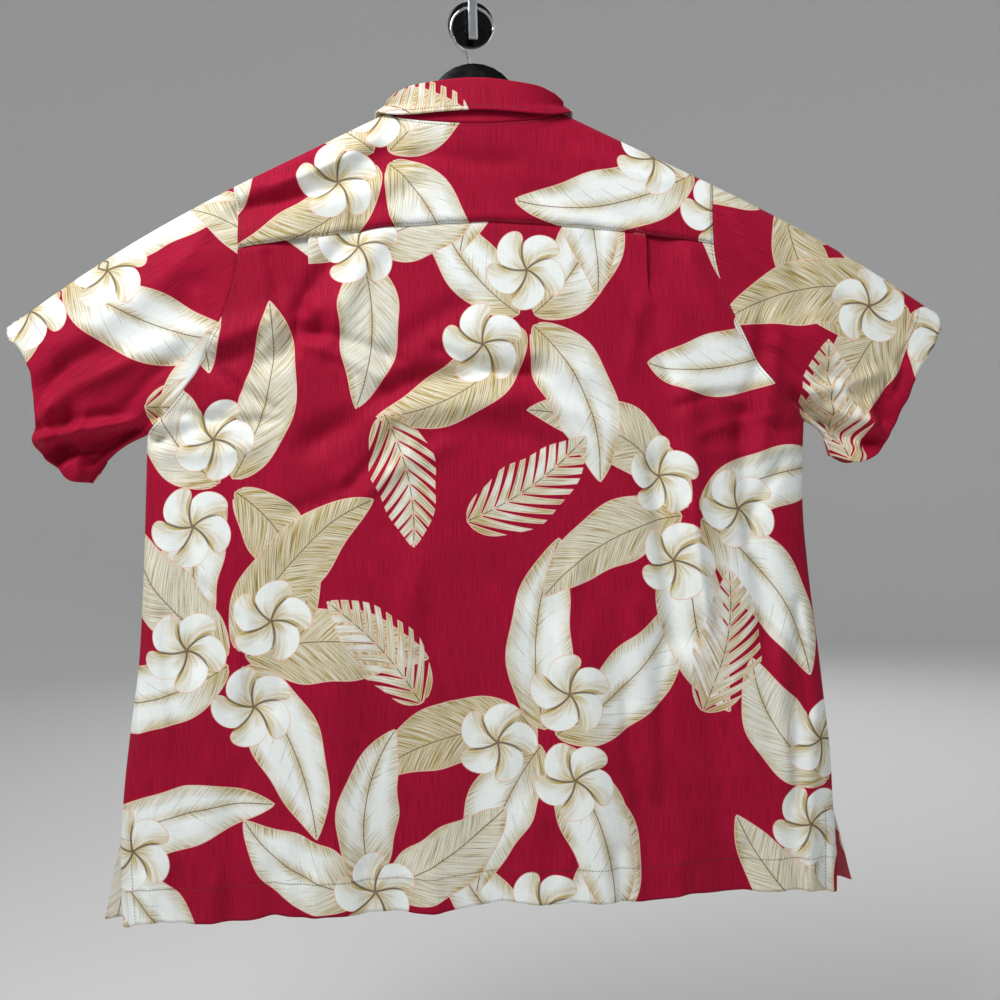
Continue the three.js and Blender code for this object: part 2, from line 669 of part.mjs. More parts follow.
// Collar: its section at an angle round the neck, from the neck seam over the fold to the edge
function collarSection(side, angle) {
  const [stand, standIn, leaf, leafOut] = ["stand", "standIn", "leaf", "leafOut"].map((column) =>
    smoothColumn(COLLAR, "angle", column, angle),
  );
  const turn = (angle * Math.PI) / 180;
  const front = angle > 0;
  const layer = front ? FRONT : BACK;
  const drop = front ? NECK.frontDrop : NECK.backDrop;
  const seam = { x: NECK.x * Math.cos(turn), z: NECK.z - drop * Math.abs(Math.sin(turn)) };
  const toSurface = smooth(angle / 30);
  const levelX = front ? 1 : Math.cos(turn);
  const levelY = front ? 0 : Math.sin(turn);
  const out = new THREE.Vector3(Math.cos(turn), Math.sin(turn), 0);
  const seamY = angle === 0 ? HANGER_Y : surfaceY(seam.x, seam.z, layer);
  const rise = Math.sqrt(1 - standIn ** 2);
  const fall = Math.sqrt(1 - leafOut ** 2);

  // middle of the stand at a share of its height
  const standPoint = (share) => {
    const height = COLLAR_CLEAR + share * (stand - COLLAR_CLEAR);
    const x = seam.x - levelX * standIn * height;
    const z = seam.z + rise * height;
    const flatY = seamY - levelY * standIn * height;
    return new THREE.Vector3(x, lerp(flatY, surfaceY(x, z, layer), toSurface), z);
  };
  const top = standPoint(1);

  // middle of the leaf at a share of its width, kept clear of the shirt under it
  const leafPoint = (share) => {
    const x = top.x + levelX * leafOut * leaf * share;
    const z = top.z - fall * leaf * share;
    const flatY = top.y + levelY * leafOut * leaf * share;
    const surface = surfaceY(x, z, layer) + layer.sign * lapHeight(front ? x : 99);
    const inside = x > NECK.x && z > shoulderZ(x) ? 0 : 1;
    const clear = surface + layer.sign * (COLLAR_CLEAR + COLLAR_PLY / 2) * inside;
    const y = front ? Math.max(lerp(flatY, clear, toSurface), clear) : Math.min(flatY, clear);
    return new THREE.Vector3(x, inside ? y : flatY, z);
  };

  const points = [];
  const half = COLLAR_FOLD;
  for (const share of [0, 0.33, 0.66, 1]) points.push(standPoint(share).addScaledVector(out, -half));
  for (const degrees of [45, 90, 135]) {
    const a = (degrees * Math.PI) / 180;
    const point = top.clone().addScaledVector(out, -half * Math.cos(a));
    point.z += half * Math.sin(a);
    points.push(point);
  }
  for (const share of [0.06, 0.3, 0.55, 0.8, 1]) {
    points.push(leafPoint(share).addScaledVector(out, lerp(half, COLLAR_PLY / 2, share)));
  }
  return points.map((point) => new THREE.Vector3(side * point.x, point.y, point.z));
}

const COLLAR_ANGLES = [
  -78, -66, -54, -43, -33, -24, -16, -9, -4, 0, 4, 9, 16, 25, 36, 48, 60, 72, 81, COLLAR_END,
];

function collarSheet() {
  const sheet = new Sheet();
  const rows = [
    ...[...COLLAR_ANGLES].reverse().map((angle) => collarSection(-1, angle)),
    collarSection(1, -90),
    ...COLLAR_ANGLES.map((angle) => collarSection(1, angle)),
  ].map((section) => section.map((point) => sheet.add(point)));
  sheet.quads(rows);
  return sheet;
}

// Buttons: discs with four holes, lying on the outer front down the middle
function buttonGeometry() {
  const ring = (x, y, radius, sides) =>
    Array.from({ length: sides }, (_, i) => {
      const a = (2 * Math.PI * i) / sides;
      return new THREE.Vector2(x + radius * Math.cos(a), y + radius * Math.sin(a));
    });
  const shape = new THREE.Shape(ring(0, 0, BUTTON.radius, BUTTON.sides));
  for (const x of [-BUTTON.holeOut, BUTTON.holeOut]) {
    for (const y of [-BUTTON.holeOut, BUTTON.holeOut]) {
      shape.holes.push(new THREE.Path(ring(x, y, BUTTON.holeRadius, BUTTON.holeSides)));
    }
  }
  const geometry = new THREE.ExtrudeGeometry(shape, { depth: BUTTON.thick, bevelEnabled: false });
  return turned(geometry, [-1, 0, 0], [0, 0, 1], [0, 1, 0]);
}

// Turns a geometry so that its own x, y and z point along the given directions
function turned(geometry, x, y, z) {
  const [toX, toY, toZ] = [x, y, z].map((v) => new THREE.Vector3(...v));
  return geometry.applyMatrix4(new THREE.Matrix4().makeBasis(toX, toY, toZ));
}

// Hanger: a hump in the neck, and arms just under the shoulder lines
function hangerOutline() {
  const armTop = (x) => {
    const slope = (SHOULDER_LINE[1].z - NECK.z) / (SHOULDER_LINE[1].x - NECK.x);
    const line = x < NECK.x ? NECK.z + slope * (x - NECK.x) : shoulderZ(x);
    const { x: dipX, drop, width } = HANGER.neckDip;
    return line - HANGER.armDrop - drop * Math.exp(-(((x - dipX) / width) ** 2));
  };
  const bottom = (x) => {
    const share = (x - HANGER.shoulderX) / (HANGER.armEnd - HANGER.shoulderX);
    if (share > 0) return armTop(x) - lerp(HANGER.depthIn, HANGER.depthOut, share);
    const end = armTop(HANGER.shoulderX) - HANGER.depthIn;
    return lerp(HANGER.archTop, end, (x / HANGER.shoulderX) ** 2);
  };
  const humpZ = (x) => {
    const centre = HANGER.humpTop - HANGER.humpRadius;
    return centre + Math.sqrt(HANGER.humpRadius ** 2 - x ** 2);
  };
  const endRadius = HANGER.depthOut / 2;
  const tipX = HANGER.armEnd - endRadius;
  const tipZ = (armTop(tipX) + bottom(tipX)) / 2;
  const half = [];
  for (const x of [0, 10, 20, 29, 36]) half.push({ x, z: humpZ(x) });
  for (const x of [HANGER.shoulderX, 58, 70, 78, 85, 92, 100, 112, 132, 156, 182, 202]) {
    half.push({ x, z: armTop(x) });
  }
  const turnFrom = Math.atan2(armTop(tipX) - tipZ, 0);
  for (const t of [0, 0.2, 0.4, 0.6, 0.8, 1]) {
    const a = turnFrom - t * Math.PI;
    const reach = lerp(armTop(tipX) - tipZ, tipZ - bottom(tipX), t);
    half.push({ x: tipX + reach * Math.cos(a), z: tipZ + reach * Math.sin(a) });
  }
  for (const x of [202, 170, 130, 90, 60, HANGER.shoulderX, 28, 14]) half.push({ x, z: bottom(x) });
  half.push({ x: 0, z: bottom(0) });
  const left = half.slice(1, -1).reverse().map((p) => ({ x: -p.x, z: p.z }));
  return [...half, ...left].map((p) => new THREE.Vector2(p.x, p.z));
}

function hangerGeometry() {
  const inner = HANGER.halfThick - HANGER.edge;
  const geometry = new THREE.ExtrudeGeometry(new THREE.Shape(hangerOutline()), {
    depth: 2 * inner,
    bevelThickness: HANGER.edge,
    bevelSize: HANGER.edge,
    bevelOffset: -HANGER.edge,
    bevelSegments: 2,
  });
  geometry.translate(0, 0, -inner);
  return turned(geometry, [1, 0, 0], [0, 0, 1], [0, -1, 0]).translate(0, HANGER_Y, 0);
}

// The hanger's wire hook: an open loop over the wall hook's arm, and a stem into the hump
function wirePath() {
  const { loop, stem } = WIRE;
  const points = [];
  const steps = 20;
  for (let i = 0; i <= steps; i++) {
    const a = (lerp(loop.from, loop.to, i / steps) * Math.PI) / 180;
    points.push([loop.x + loop.radius * Math.cos(a), loop.z + loop.radius * Math.sin(a)]);
  }
  for (const { x, z } of stem) points.push([x, z]);
  return new THREE.CatmullRomCurve3(points.map(([x, z]) => new THREE.Vector3(x, HANGER_Y, z)));
}

function wireGeometry() {
  const section = Array.from({ length: 10 }, (_, i) => {
    const a = (2 * Math.PI * (i + 0.5)) / 10;
    return new THREE.Vector2(WIRE.inDepth * Math.cos(a), WIRE.inPlane * Math.sin(a));
  });
  return new THREE.ExtrudeGeometry(new THREE.Shape(section), { steps: 46, extrudePath: wirePath() });
}

// Wall hook: a round plate against the wall, and an upright bar on an arm
function roseGeometry() {
  const { radius, thick, chamfer } = ROSE;
  const profile = [
    [0, 0],
    [radius - chamfer / 2, 0],
    [radius, chamfer / 2],
    [radius, thick - chamfer],
    [radius - chamfer, thick],
    [0, thick],
  ];
  const points = profile.map(([r, h]) => new THREE.Vector2(r, h));
  return new THREE.LatheGeometry(points, 48).rotateX(Math.PI);
}

function prongGeometry() {
  const toCorner = PRONG.halfWidth + Math.abs(WIRE.loop.x);
  const inside = Math.sqrt((WIRE.loop.radius - WIRE.inPlane) ** 2 - toCorner ** 2);
  const armTop = WIRE.loop.z + inside - SEAM_GAP;
  const armBottom = armTop - PRONG.armThick;
  const start = ROSE.thick + SEAM_GAP;
  const { barFrom, fillet } = PRONG;
  const barTo = barFrom + PRONG.barThick;
  const radius = PRONG.barThick / 2;
  const shape = new THREE.Shape();
  shape.moveTo(start, armBottom);
  shape.lineTo(barFrom - fillet, armBottom);
  shape.quadraticCurveTo(barFrom, armBottom, barFrom, armBottom - fillet);
  shape.lineTo(barFrom, PRONG.barBottom + radius);
  shape.absarc(barFrom + radius, PRONG.barBottom + radius, radius, Math.PI, 2 * Math.PI, false);
  shape.lineTo(barTo, PRONG.barTop - radius);
  shape.absarc(barFrom + radius, PRONG.barTop - radius, radius, 0, Math.PI, false);
  shape.lineTo(barFrom, armTop + fillet);
  shape.quadraticCurveTo(barFrom, armTop, barFrom - fillet, armTop);
  shape.lineTo(start, armTop);
  const geometry = new THREE.ExtrudeGeometry(shape, {
    depth: 2 * (PRONG.halfWidth - PRONG.edge),
    bevelThickness: PRONG.edge,
    bevelSize: PRONG.edge,
    bevelOffset: -PRONG.edge,
    bevelSegments: 2,
    curveSegments: 5,
  });
  geometry.translate(0, 0, PRONG.edge - PRONG.halfWidth);
  return turned(geometry, [0, -1, 0], [0, 0, 1], [-1, 0, 0]);
}

const group = new THREE.Group();
const matte = (color, roughness) => new THREE.MeshStandardMaterial({ color, roughness });
const metal = (color, roughness) =>
  new THREE.MeshStandardMaterial({ color, roughness, metalness: 1 });
const cloth = matte(COLORS.crimson, 0.75);

function addMesh(name, geometry, material) {
  const mesh = new THREE.Mesh(geometry, material);
  mesh.name = name;
  group.add(mesh);
  return mesh;
}

addMesh("yoke", yokeSheet().wall(CLOTH), cloth);
addMesh("back", backSheet().wall(CLOTH), cloth);
addMesh("front_left", frontSheet(-1).wall(CLOTH), cloth);
addMesh("front_right", frontSheet(1).wall(CLOTH), cloth);
addMesh("sleeve_left", sleeveSheet(-1).wall(CLOTH), cloth);
addMesh("sleeve_right", sleeveSheet(1).wall(CLOTH), cloth);
addMesh("collar", collarSheet().wall(COLLAR_PLY), cloth);

for (let i = 0; i < BUTTON_ROWS.count; i++) {
  const z = BUTTON_ROWS.first - i * BUTTON_ROWS.pitch;
  const button = addMesh(`button_${i + 1}`, buttonGeometry(), matte(COLORS.shell, 0.35));
  button.position.set(0, surfaceY(0, z, FRONT) + LAP + SEAM_GAP, z);
}

addMesh("hanger_body", hangerGeometry(), matte(COLORS.black, 0.45));
addMesh("hanger_hook", wireGeometry(), metal(COLORS.chrome, 0.12));
addMesh("wall_hook_rose", roseGeometry(), matte(COLORS.darkGloss, 0.15));
addMesh("wall_hook_arm", prongGeometry(), metal(COLORS.chrome, 0.1));

export default group;
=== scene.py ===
"""Dresses a short-sleeved tropical camp shirt, seen from behind on its hanger and wall hook."""

import math

import bmesh
import bpy
import numpy as np
from mathutils import Matrix, Vector


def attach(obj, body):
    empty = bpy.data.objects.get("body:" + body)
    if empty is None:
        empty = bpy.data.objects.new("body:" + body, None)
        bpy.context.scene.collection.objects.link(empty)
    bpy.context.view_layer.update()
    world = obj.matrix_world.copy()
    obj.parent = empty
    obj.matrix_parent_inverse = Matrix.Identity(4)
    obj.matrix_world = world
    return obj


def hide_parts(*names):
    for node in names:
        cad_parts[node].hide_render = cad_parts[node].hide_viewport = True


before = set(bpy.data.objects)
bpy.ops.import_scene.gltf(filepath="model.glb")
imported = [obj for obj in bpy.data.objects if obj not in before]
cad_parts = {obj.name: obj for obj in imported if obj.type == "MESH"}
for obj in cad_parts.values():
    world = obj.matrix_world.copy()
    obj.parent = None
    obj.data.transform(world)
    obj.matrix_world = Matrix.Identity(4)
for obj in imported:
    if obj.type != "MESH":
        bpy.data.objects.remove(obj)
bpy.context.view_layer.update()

bl_info = {
    "name": "Camp shirt on a hanger",
    "version": (1, 0, 0),
    "blender": (4, 5, 0),
    "location": "3D View > Sidebar > Shirt",
    "description": "Sews a printed camp shirt over its plain solids",
    "category": "Object",
}

MM = 0.001
SIDES = {-1: "left", 1: "right"}

# Driving sizes in millimetres, as in the part's solids
HANGER_Y = -30.0
SEAM_HALF_GAP = 0.2
# back and front close up further than their solids do, so that no light comes through the seams
CLOSED_HALF_GAP = 0.04
NECK = {"x": 88.0, "z": -101.0, "back_drop": 20.0, "front_drop": 84.0}
SHOULDER = (243.0, -175.0)
UNDERARM = (334.0, -421.0)
HEM_Z = -900.0
HEM_SAG = 15.0
VENT_TOP_Z = -818.0
YOKE_SEAM = {"middle": -217.0, "power": 1.7}
YOKE_SIDE = 66.0
YOKE_FORWARD = 36.0
YOKE_NECK_SHARE = 0.28
FRONT_OVERLAP = 18.0
FLARE = 24.0
LAP = 1.8
SHOULDER_LINE = [(NECK["x"], NECK["z"]), (132, -122), (178, -144), SHOULDER]
ARMHOLE = [
    SHOULDER, (238.5, -205), (238, -241), (241, -265), (248, -289), (257, -312),
    (269, -337), (283, -363), (299, -386), (316, -404), UNDERARM,
]
CUFFS = {
    -1: [
        (466, -313), (461, -325), (448, -338), (440, -357), (437, -380),
        (436, -408), (437, -432), (425, -447), (405, -463), (390, -468),
    ],
    1: [
        (481, -313), (478, -327), (465, -350), (450, -374), (435, -402),
        (420, -430), (410, -452), (396, -463), (380, -464), (363, -458),
    ],
}
CUFF_LAG = 1.7
SLEEVE_BOW = (6.0, 7.0)
SLEEVE_LENGTH = 215.0
BUTTON_ROWS = {"first": -214.0, "pitch": 106.0, "count": 6, "thick": 2.6}

# Half widths of the body down the side seams: z, left, right
SIDE_SEAMS = [
    (-421, 334, 334), (-460, 336, 331), (-520, 339, 330), (-587, 343, 335), (-650, 348, 342),
    (-714, 358, 348), (-765, 365, 353), (-818, 370, 354), (-858, 370, 355), (-900, 367, 353),
]

# Soft folds: x and z of both ends, height out of the cloth (below 0 for a trough), half width,
# and how far the fold bows sideways in its middle. The first rows are the solids' own folds.
BACK_FOLDS = [
    (-232, -205, -95, -150, -4, 13, 0), (-250, -330, -165, -305, 4, 15, 0),
    (-215, -352, -168, -322, -4, 11, 0), (-165, -430, -85, -382, -5, 14, 0),
    (-60, -372, 45, -366, -5, 13, 0), (-120, -405, 20, -396, 4, 16, 0),
    (172, -470, 192, -640, -5, 12, 0), (205, -400, 215, -600, 4, 15, 0),
    (262, -425, 285, -640, -4, 13, 0), (-300, -440, -290, -640, -4, 14, 0),
    (-150, -640, -160, -900, 4, 26, 0), (-245, -700, -262, -900, -4, 20, 0),
    (-20, -700, -10, -900, -3, 22, 0), (95, -660, 105, -900, 4, 24, 0),
    (225, -690, 238, -900, -3, 22, 0), (-352, -420, -428, -438, -8, 8, 0),
    (350, -424, 400, -446, -8, 8, 0), (345, -330, 425, -400, 3, 14, 0),
    (-290, -260, -400, -330, 3, 16, 0),
    # finer creases
    (-200, -180, -110, -138, 1.6, 8, 3), (-205, -172, -150, -150, -1.4, 6, 0),
    (-150, -215, -60, -178, -1.4, 9, 4), (60, -190, 150, -215, -1.5, 10, -4),
    (110, -150, 190, -176, 1.3, 8, 2), (-40, -150, 30, -158, -1.2, 9, 3),
    (-196, -318, -208, -250, -1.6, 6, 2), (-188, -312, -214, -338, 1.5, 6, 1),
    (-176, -300, -150, -350, -1.3, 7, -2), (176, -312, 190, -372, -1.6, 7, 2),
    (160, -306, 148, -360, 1.2, 8, 0), (-292, -300, -262, -430, -2.0, 9, 5),
    (-276, -290, -240, -400, 1.5, 8, 4), (288, -305, 262, -430, -1.8, 9, -5),
    (300, -345, 276, -460, 1.6, 8, -4), (-315, -425, -250, -398, -2.2, 8, 4),
    (-312, -440, -230, -436, 1.6, 8, 3), (318, -430, 250, -404, -2.0, 8, -4),
    (314, -447, 236, -452, 1.5, 9, -3), (-130, -470, -40, -440, 1.6, 10, 5),
    (-190, -500, -96, -452, -1.8, 9, 5), (30, -430, 120, -470, -1.7, 11, -6),
    (60, -400, 140, -432, 1.5, 10, -4), (-20, -520, 60, -610, -1.6, 13, 8),
    (-70, -560, -90, -700, 1.5, 13, 6), (40, -640, 34, -780, -1.6, 14, -5),
    (150, -610, 168, -760, 1.8, 12, 6), (178, -640, 172, -800, -2.0, 9, 3),
    (296, -640, 300, -790, 1.8, 9, 3), (312, -660, 306, -820, -1.8, 8, -3),
    (-330, -560, -318, -720, 1.8, 9, 4), (-316, -600, -300, -790, -1.6, 9, 5),
    (-205, -560, -212, -690, -1.5, 11, -5), (-240, -600, -250, -740, 1.4, 10, 4),
    (330, -720, 322, -890, 1.5, 9, 2), (-340, -740, -330, -890, -1.6, 10, 3),
    (150, -820, 158, -900, -1.8, 12, 0), (-90, -800, -96, -900, -1.6, 13, 0),
    (40, -820, 44, -900, 1.4, 14, 0), (-205, -830, -202, -900, 1.6, 12, 0),
    (285, -830, 290, -900, 1.4, 12, 0), (-300, -350, -352, -398, -2.2, 8, 4),
    (-278, -322, -372, -368, 1.7, 10, 5), (-380, -340, -428, -372, -2.0, 8, 3),
    (-352, -356, -430, -400, 2.2, 8, 5), (-368, -402, -432, -414, -2.6, 6, 2),
    (-372, -420, -424, -426, 2.4, 6, 2), (-318, -238, -300, -300, -1.2, 10, 0),
    (292, -352, 350, -398, -2.2, 8, -5), (280, -318, 372, -372, 1.6, 10, -6),
    (372, -300, 440, -372, -1.8, 10, -6), (352, -376, 412, -422, -2.4, 7, -4),
    (372, -402, 404, -438, 2.2, 6, -2), (318, -238, 330, -300, -1.2, 10, 0),
    (262, -210, 300, -262, 1.1, 9, 2), (-262, -214, -300, -258, 1.1, 9, -2),
    # the broad shadowed crease beside the left pleat, and those round it
    (-122, -224, -184, -309, -3.4, 10, 3), (-184, -309, -262, -352, -3.0, 11, -4),
    (-98, -236, -150, -330, 2.4, 11, 4), (-182, -318, -196, -352, -1.8, 6, 2),
    (118, -236, 168, -330, -2.2, 11, -4), (214, -256, 252, -330, 2.0, 10, 3),
    (-20, -300, -96, -352, -2.0, 12, 5), (24, -320, 96, -370, 2.0, 12, 5),
    # crisp creases that catch the light
    (-226, -196, -60, -152, -2.6, 7, 5), (-214, -176, -128, -150, 1.6, 6, 3),
    (-170, -322, -84, -352, -2.2, 6, -3), (-176, -336, -98, -372, 1.8, 6, -3),
    (-134, -474, -92, -424, -2.4, 6, 3), (-120, -486, -70, -438, 1.8, 6, 3),
    (-40, -344, 34, -368, -2.4, 7, 3), (-8, -380, 46, -354, 1.8, 7, 3),
    (196, -516, 210, -640, -2.4, 6, 4), (208, -508, 222, -628, 1.8, 6, 4),
    (-252, -366, -208, -398, -2.2, 6, 3), (-290, -402, -206, -410, -2.0, 6, 4),
    (262, -392, 200, -404, -2.0, 6, 3), (292, -418, 222, -432, 1.8, 6, 3),
    (300, -470, 268, -540, -2.0, 7, 4), (-302, -476, -282, -560, 2.0, 7, 4),
    (-60, -610, -40, -700, -1.8, 8, 3), (90, -560, 76, -660, 1.8, 8, 3),
    (-250, -606, -226, -690, -2.0, 7, 3), (136, -700, 146, -800, -1.8, 7, 3),
    (318, -610, 326, -720, -2.0, 6, 2), (-352, -640, -340, -760, 2.0, 6, 2),
    # hollow under each sleeve where the low cuff rolls outwards
    (-324, -426, -384, -446, -5.0, 6, 2), (-330, -410, -396, -426, 3.0, 7, 3),
    (338, -406, 376, -432, -5.0, 6, -2), (384, -416, 408, -438, 2.2, 6, 0),
    (322, -398, 352, -424, -4.4, 7, -2), (340, -392, 400, -376, 2.6, 7, 3),
    (-322, -404, -356, -430, -4.0, 6, 2), (378, -430, 384, -458, 1.8, 5, 0),
    # small waves along the hem
    (-338, -862, -340, -905, 2.4, 9, 0), (-312, -856, -309, -905, -2.4, 8, 0),
    (-276, -866, -279, -905, 2.0, 9, 0), (-222, -860, -221, -905, -2.2, 9, 0),
    (-178, -868, -180, -905, 1.8, 8, 0), (-128, -858, -126, -905, -2.2, 10, 0),
    (-62, -866, -60, -905, 1.9, 9, 0), (6, -860, 10, -905, -2.0, 10, 0),
    (68, -864, 66, -905, 2.0, 9, 0), (124, -856, 128, -905, -2.2, 9, 0),
    (186, -866, 184, -905, 2.0, 9, 0), (258, -858, 256, -905, -2.2, 10, 0),
    (318, -862, 320, -905, 2.2, 8, 0), (340, -858, 343, -905, -1.8, 7, 0),
    # the low cuffs gather, with a hollow under each sleeve
    (-356, -412, -424, -424, 3.4, 6, 3), (-362, -432, -420, -446, -3.4, 5, 2),
    (-404, -400, -418, -452, -2.6, 5, 2), (-390, -404, -398, -458, 2.2, 5, 2),
    (-422, -396, -430, -440, 2.4, 5, 0), (-410, -356, -434, -398, -1.8, 6, 2),
    (352, -414, 402, -432, 2.8, 6, -3), (356, -436, 392, -452, -3.2, 5, -2),
    (398, -404, 388, -448, 2.4, 5, -2), (412, -392, 404, -440, -2.4, 5, -2),
    (436, -356, 416, -400, -1.8, 6, -2), (426, -372, 408, -420, 2.0, 5, 2),
]
FRONT_FOLDS = [
    (-110, -330, -130, -620, 3, 20, 0), (120, -360, 150, -700, -3, 20, 0),
    (-210, -560, -230, -900, 3, 24, 0), (215, -600, 240, -900, 3, 24, 0),
    # finer creases
    (-300, -300, -255, -420, -1.8, 9, 4), (296, -305, 258, -425, -1.8, 9, -4),
    (-200, -200, -120, -260, -1.5, 11, 5), (190, -205, 115, -258, -1.4, 11, -5),
    (-312, -432, -240, -400, 1.8, 9, 4), (314, -436, 244, -404, 1.8, 9, -4),
    (-60, -420, -80, -560, -1.6, 13, 6), (70, -460, 84, -600, 1.6, 13, 5),
    (-290, -520, -300, -700, -1.8, 13, 5), (300, -540, 296, -720, 1.7, 13, -5),
    (-160, -700, -168, -880, -1.7, 14, 4), (160, -740, 170, -890, 1.6, 14, 4),
    (-70, -760, -60, -890, 1.5, 14, 0), (60, -770, 70, -890, -1.5, 14, 0),
    (-300, -330, -400, -392, -2.0, 9, 5), (300, -330, 392, -400, -2.0, 9, -5),
]
BACK = {"sign": -1, "depth": 22.0, "rounding": 60.0, "swell": 8.0, "folds": BACK_FOLDS}
FRONT = {"sign": 1, "depth": 13.0, "rounding": 24.0, "swell": 5.0, "folds": FRONT_FOLDS}
NECK_SWELL = {"wide": 80.0, "high": 50.0, "z": -110.0}

PLEAT = {"x": 170.0, "length": 88.0, "depth": 14.0, "turn": 1.1, "settle": 46.0}

# Collar by the angle round the neck: height of the stand, its lean, width of the leaf, its lean
COLLAR_ANGLES = np.array([-90.0, -45.0, 0.0, 45.0, 90.0])
COLLAR = {
    "stand": [46, 36, 19, 12, 4],
    "stand_in": [0.13, 0.25, 0.62, 0.65, 0.1],
    "leaf": [34, 33, 28, 46, 76],
    "leaf_out": [0.26, 0.42, 0.86, 0.72, 0.62],
}
COLLAR_END = 86.4
COLLAR_FOLD = 2.1
COLLAR_CLEAR = 0.5
COLLAR_PLY = 1.6

HEM_DEPTH = 33.0
CUFF_HEM = 28.0
VENT_HEM = 13.0
# the cloth folds a little deeper than the plain solids do
FOLD_GAIN = 2.1
SPACING = 3.5


# Small helpers
def lerp(a, b, t):
    return a + (b - a) * t


def clamp01(t):
    return np.clip(t, 0.0, 1.0)


def smooth(t):
    t = clamp01(t)
    return t * t * (3 - 2 * t)


def curve_through(rows, steps=16):
    """A smooth curve through x, z rows, as a function of the share of its length, and that."""
    p = np.array(rows, float)
    ends = np.vstack([p[:1], p, p[-1:]])
    t = (np.arange(steps) / steps)[:, None]
    spans = []
    for a, b, c, d in zip(ends, ends[1:], ends[2:], ends[3:]):
        curve = (c - a) * t + (2 * a - 5 * b + 4 * c - d) * t**2
        spans.append(0.5 * (2 * b + curve + (3 * b - a - 3 * c + d) * t**3))
    points = np.vstack([*spans, p[-1:]])
    lengths = np.concatenate([[0], np.cumsum(np.linalg.norm(np.diff(points, axis=0), axis=1))])

    def point(share):
        wanted = clamp01(share) * lengths[-1]
        return np.interp(wanted, lengths, points[:, 0]), np.interp(wanted, lengths, points[:, 1])

    return point, lengths[-1]


armhole, armhole_length = curve_through(ARMHOLE)
shoulder_line = curve_through(SHOULDER_LINE)[0]
cuffs = {side: curve_through(rows)[0] for side, rows in CUFFS.items()}


def side_seam_x(side, z):
    """Half width of the body at z, smoothed between the table's rows."""
    table = np.array(SIDE_SEAMS, float)[::-1]
    column = table[:, 1 if side < 0 else 2]
    near = [np.interp(np.asarray(z) + shift, table[:, 0], column) for shift in (-16, -8, 0, 8, 16)]
    return np.mean(near, axis=0)


def sleeve_point(side, down, along):
    """x and z on a sleeve: down from its top edge to the underarm seam, along to the cuff."""
    inner, outer = armhole(down), cuffs[side](down**CUFF_LAG)
    rise = lerp(SLEEVE_BOW[0], SLEEVE_BOW[1], down) * np.sin(math.pi * clamp01(along))
    x = lerp(inner[0], outer[0], along) + rise * 0.5
    z = lerp(inner[1], outer[1], along) + rise * 0.86
    return side * x, z


def closed_edges(side):
    """The segments where back and front meet on one side."""
    steps = np.linspace(0, 1, 33)
    seam_z = np.array([UNDERARM[1], *range(-430, -901, -12), HEM_Z, HEM_Z - HEM_SAG])
    lines = [
        np.stack([side * shoulder_line(steps)[0], shoulder_line(steps)[1]], -1),
        np.stack(sleeve_point(side, 0.0, steps), -1),
        np.stack(sleeve_point(side, 1.0, steps), -1),
        np.stack([side * side_seam_x(side, seam_z), seam_z], -1),
    ]
    return np.concatenate([np.concatenate([line[:-1], line[1:]], 1) for line in lines])


EDGES = {side: closed_edges(side) for side in SIDES}


def edge_distance(x, z):
    """How far each place lies from the nearest edge where back and front meet."""
    nearest = np.full(x.shape, 1e9)
    for side in SIDES:
        here = x < 0 if side < 0 else x >= 0
        px, pz = x[here], z[here]
        best = np.full(px.shape, 1e9)
        for ax, az, bx, bz in EDGES[side]:
            dx, dz = bx - ax, bz - az
            t = clamp01(((px - ax) * dx + (pz - az) * dz) / (dx * dx + dz * dz))
            best = np.minimum(best, (px - ax - t * dx) ** 2 + (pz - az - t * dz) ** 2)
        nearest[here] = np.sqrt(best)
    return nearest


def fold_height(x, z, folds):
    """Sum of all folds at each place: a bell across each one, fading past its ends."""
    height = np.zeros(x.shape)
    for x0, z0, x1, z1, high, width, bow in folds:
        dx, dz = x1 - x0, z1 - z0
        length = math.hypot(dx, dz)
        along = ((x - x0) * dx + (z - z0) * dz) / length
        middle = 1 - (2 * clamp01(along / length) - 1) ** 2
        across = ((x - x0) * dz - (z - z0) * dx) / length - bow * middle
        beyond = np.maximum(np.maximum(-along, along - length), 0)
        height += high * np.exp(-((beyond / (1.5 * width)) ** 2) - (across / width) ** 2)
    return height


def vent_share(z):
    """0 at the top of the side vents, 1 at the hem."""
    return clamp01((VENT_TOP_Z - z) / (VENT_TOP_Z - HEM_Z))


def surface_y(x, z, layer):
    """The outer face of the back or the front over places of the wall's plane."""
    x, z = np.broadcast_arrays(np.asarray(x, float), np.asarray(z, float))
    from_edge = edge_distance(x, z)
    t = clamp01((from_edge + 3 * vent_share(z)) / layer["rounding"])
    across, up = x / NECK_SWELL["wide"], (z - NECK_SWELL["z"]) / NECK_SWELL["high"]
    swell = layer["swell"] * np.exp(-(across**2) - up**2)
    bulge = (layer["depth"] + swell) * np.sqrt(t * (2 - t))
    folds = FOLD_GAIN * fold_height(x, z, layer["folds"]) * smooth((from_edge - 1) / 10)
    return HANGER_Y + layer["sign"] * (CLOSED_HALF_GAP + bulge + folds)


def on_layer(layer, x, z, out=0.0):
    """Points on a layer's outer face, or so far off it."""
    x, z = np.broadcast_arrays(np.asarray(x, float), np.asarray(z, float))
    return np.stack([x, surface_y(x, z, layer) + layer["sign"] * out, z], -1)


def armhole_place(share, out):
    """A place on the armhole, moved square to it: out towards the sleeve above 0."""
    x, z = armhole(share)
    before, after = armhole(share - 0.01), armhole(share + 0.01)
    dx, dz = after[0] - before[0], after[1] - before[1]
    length = np.hypot(dx, dz)
    return x - out * dz / length, z + out * dx / length


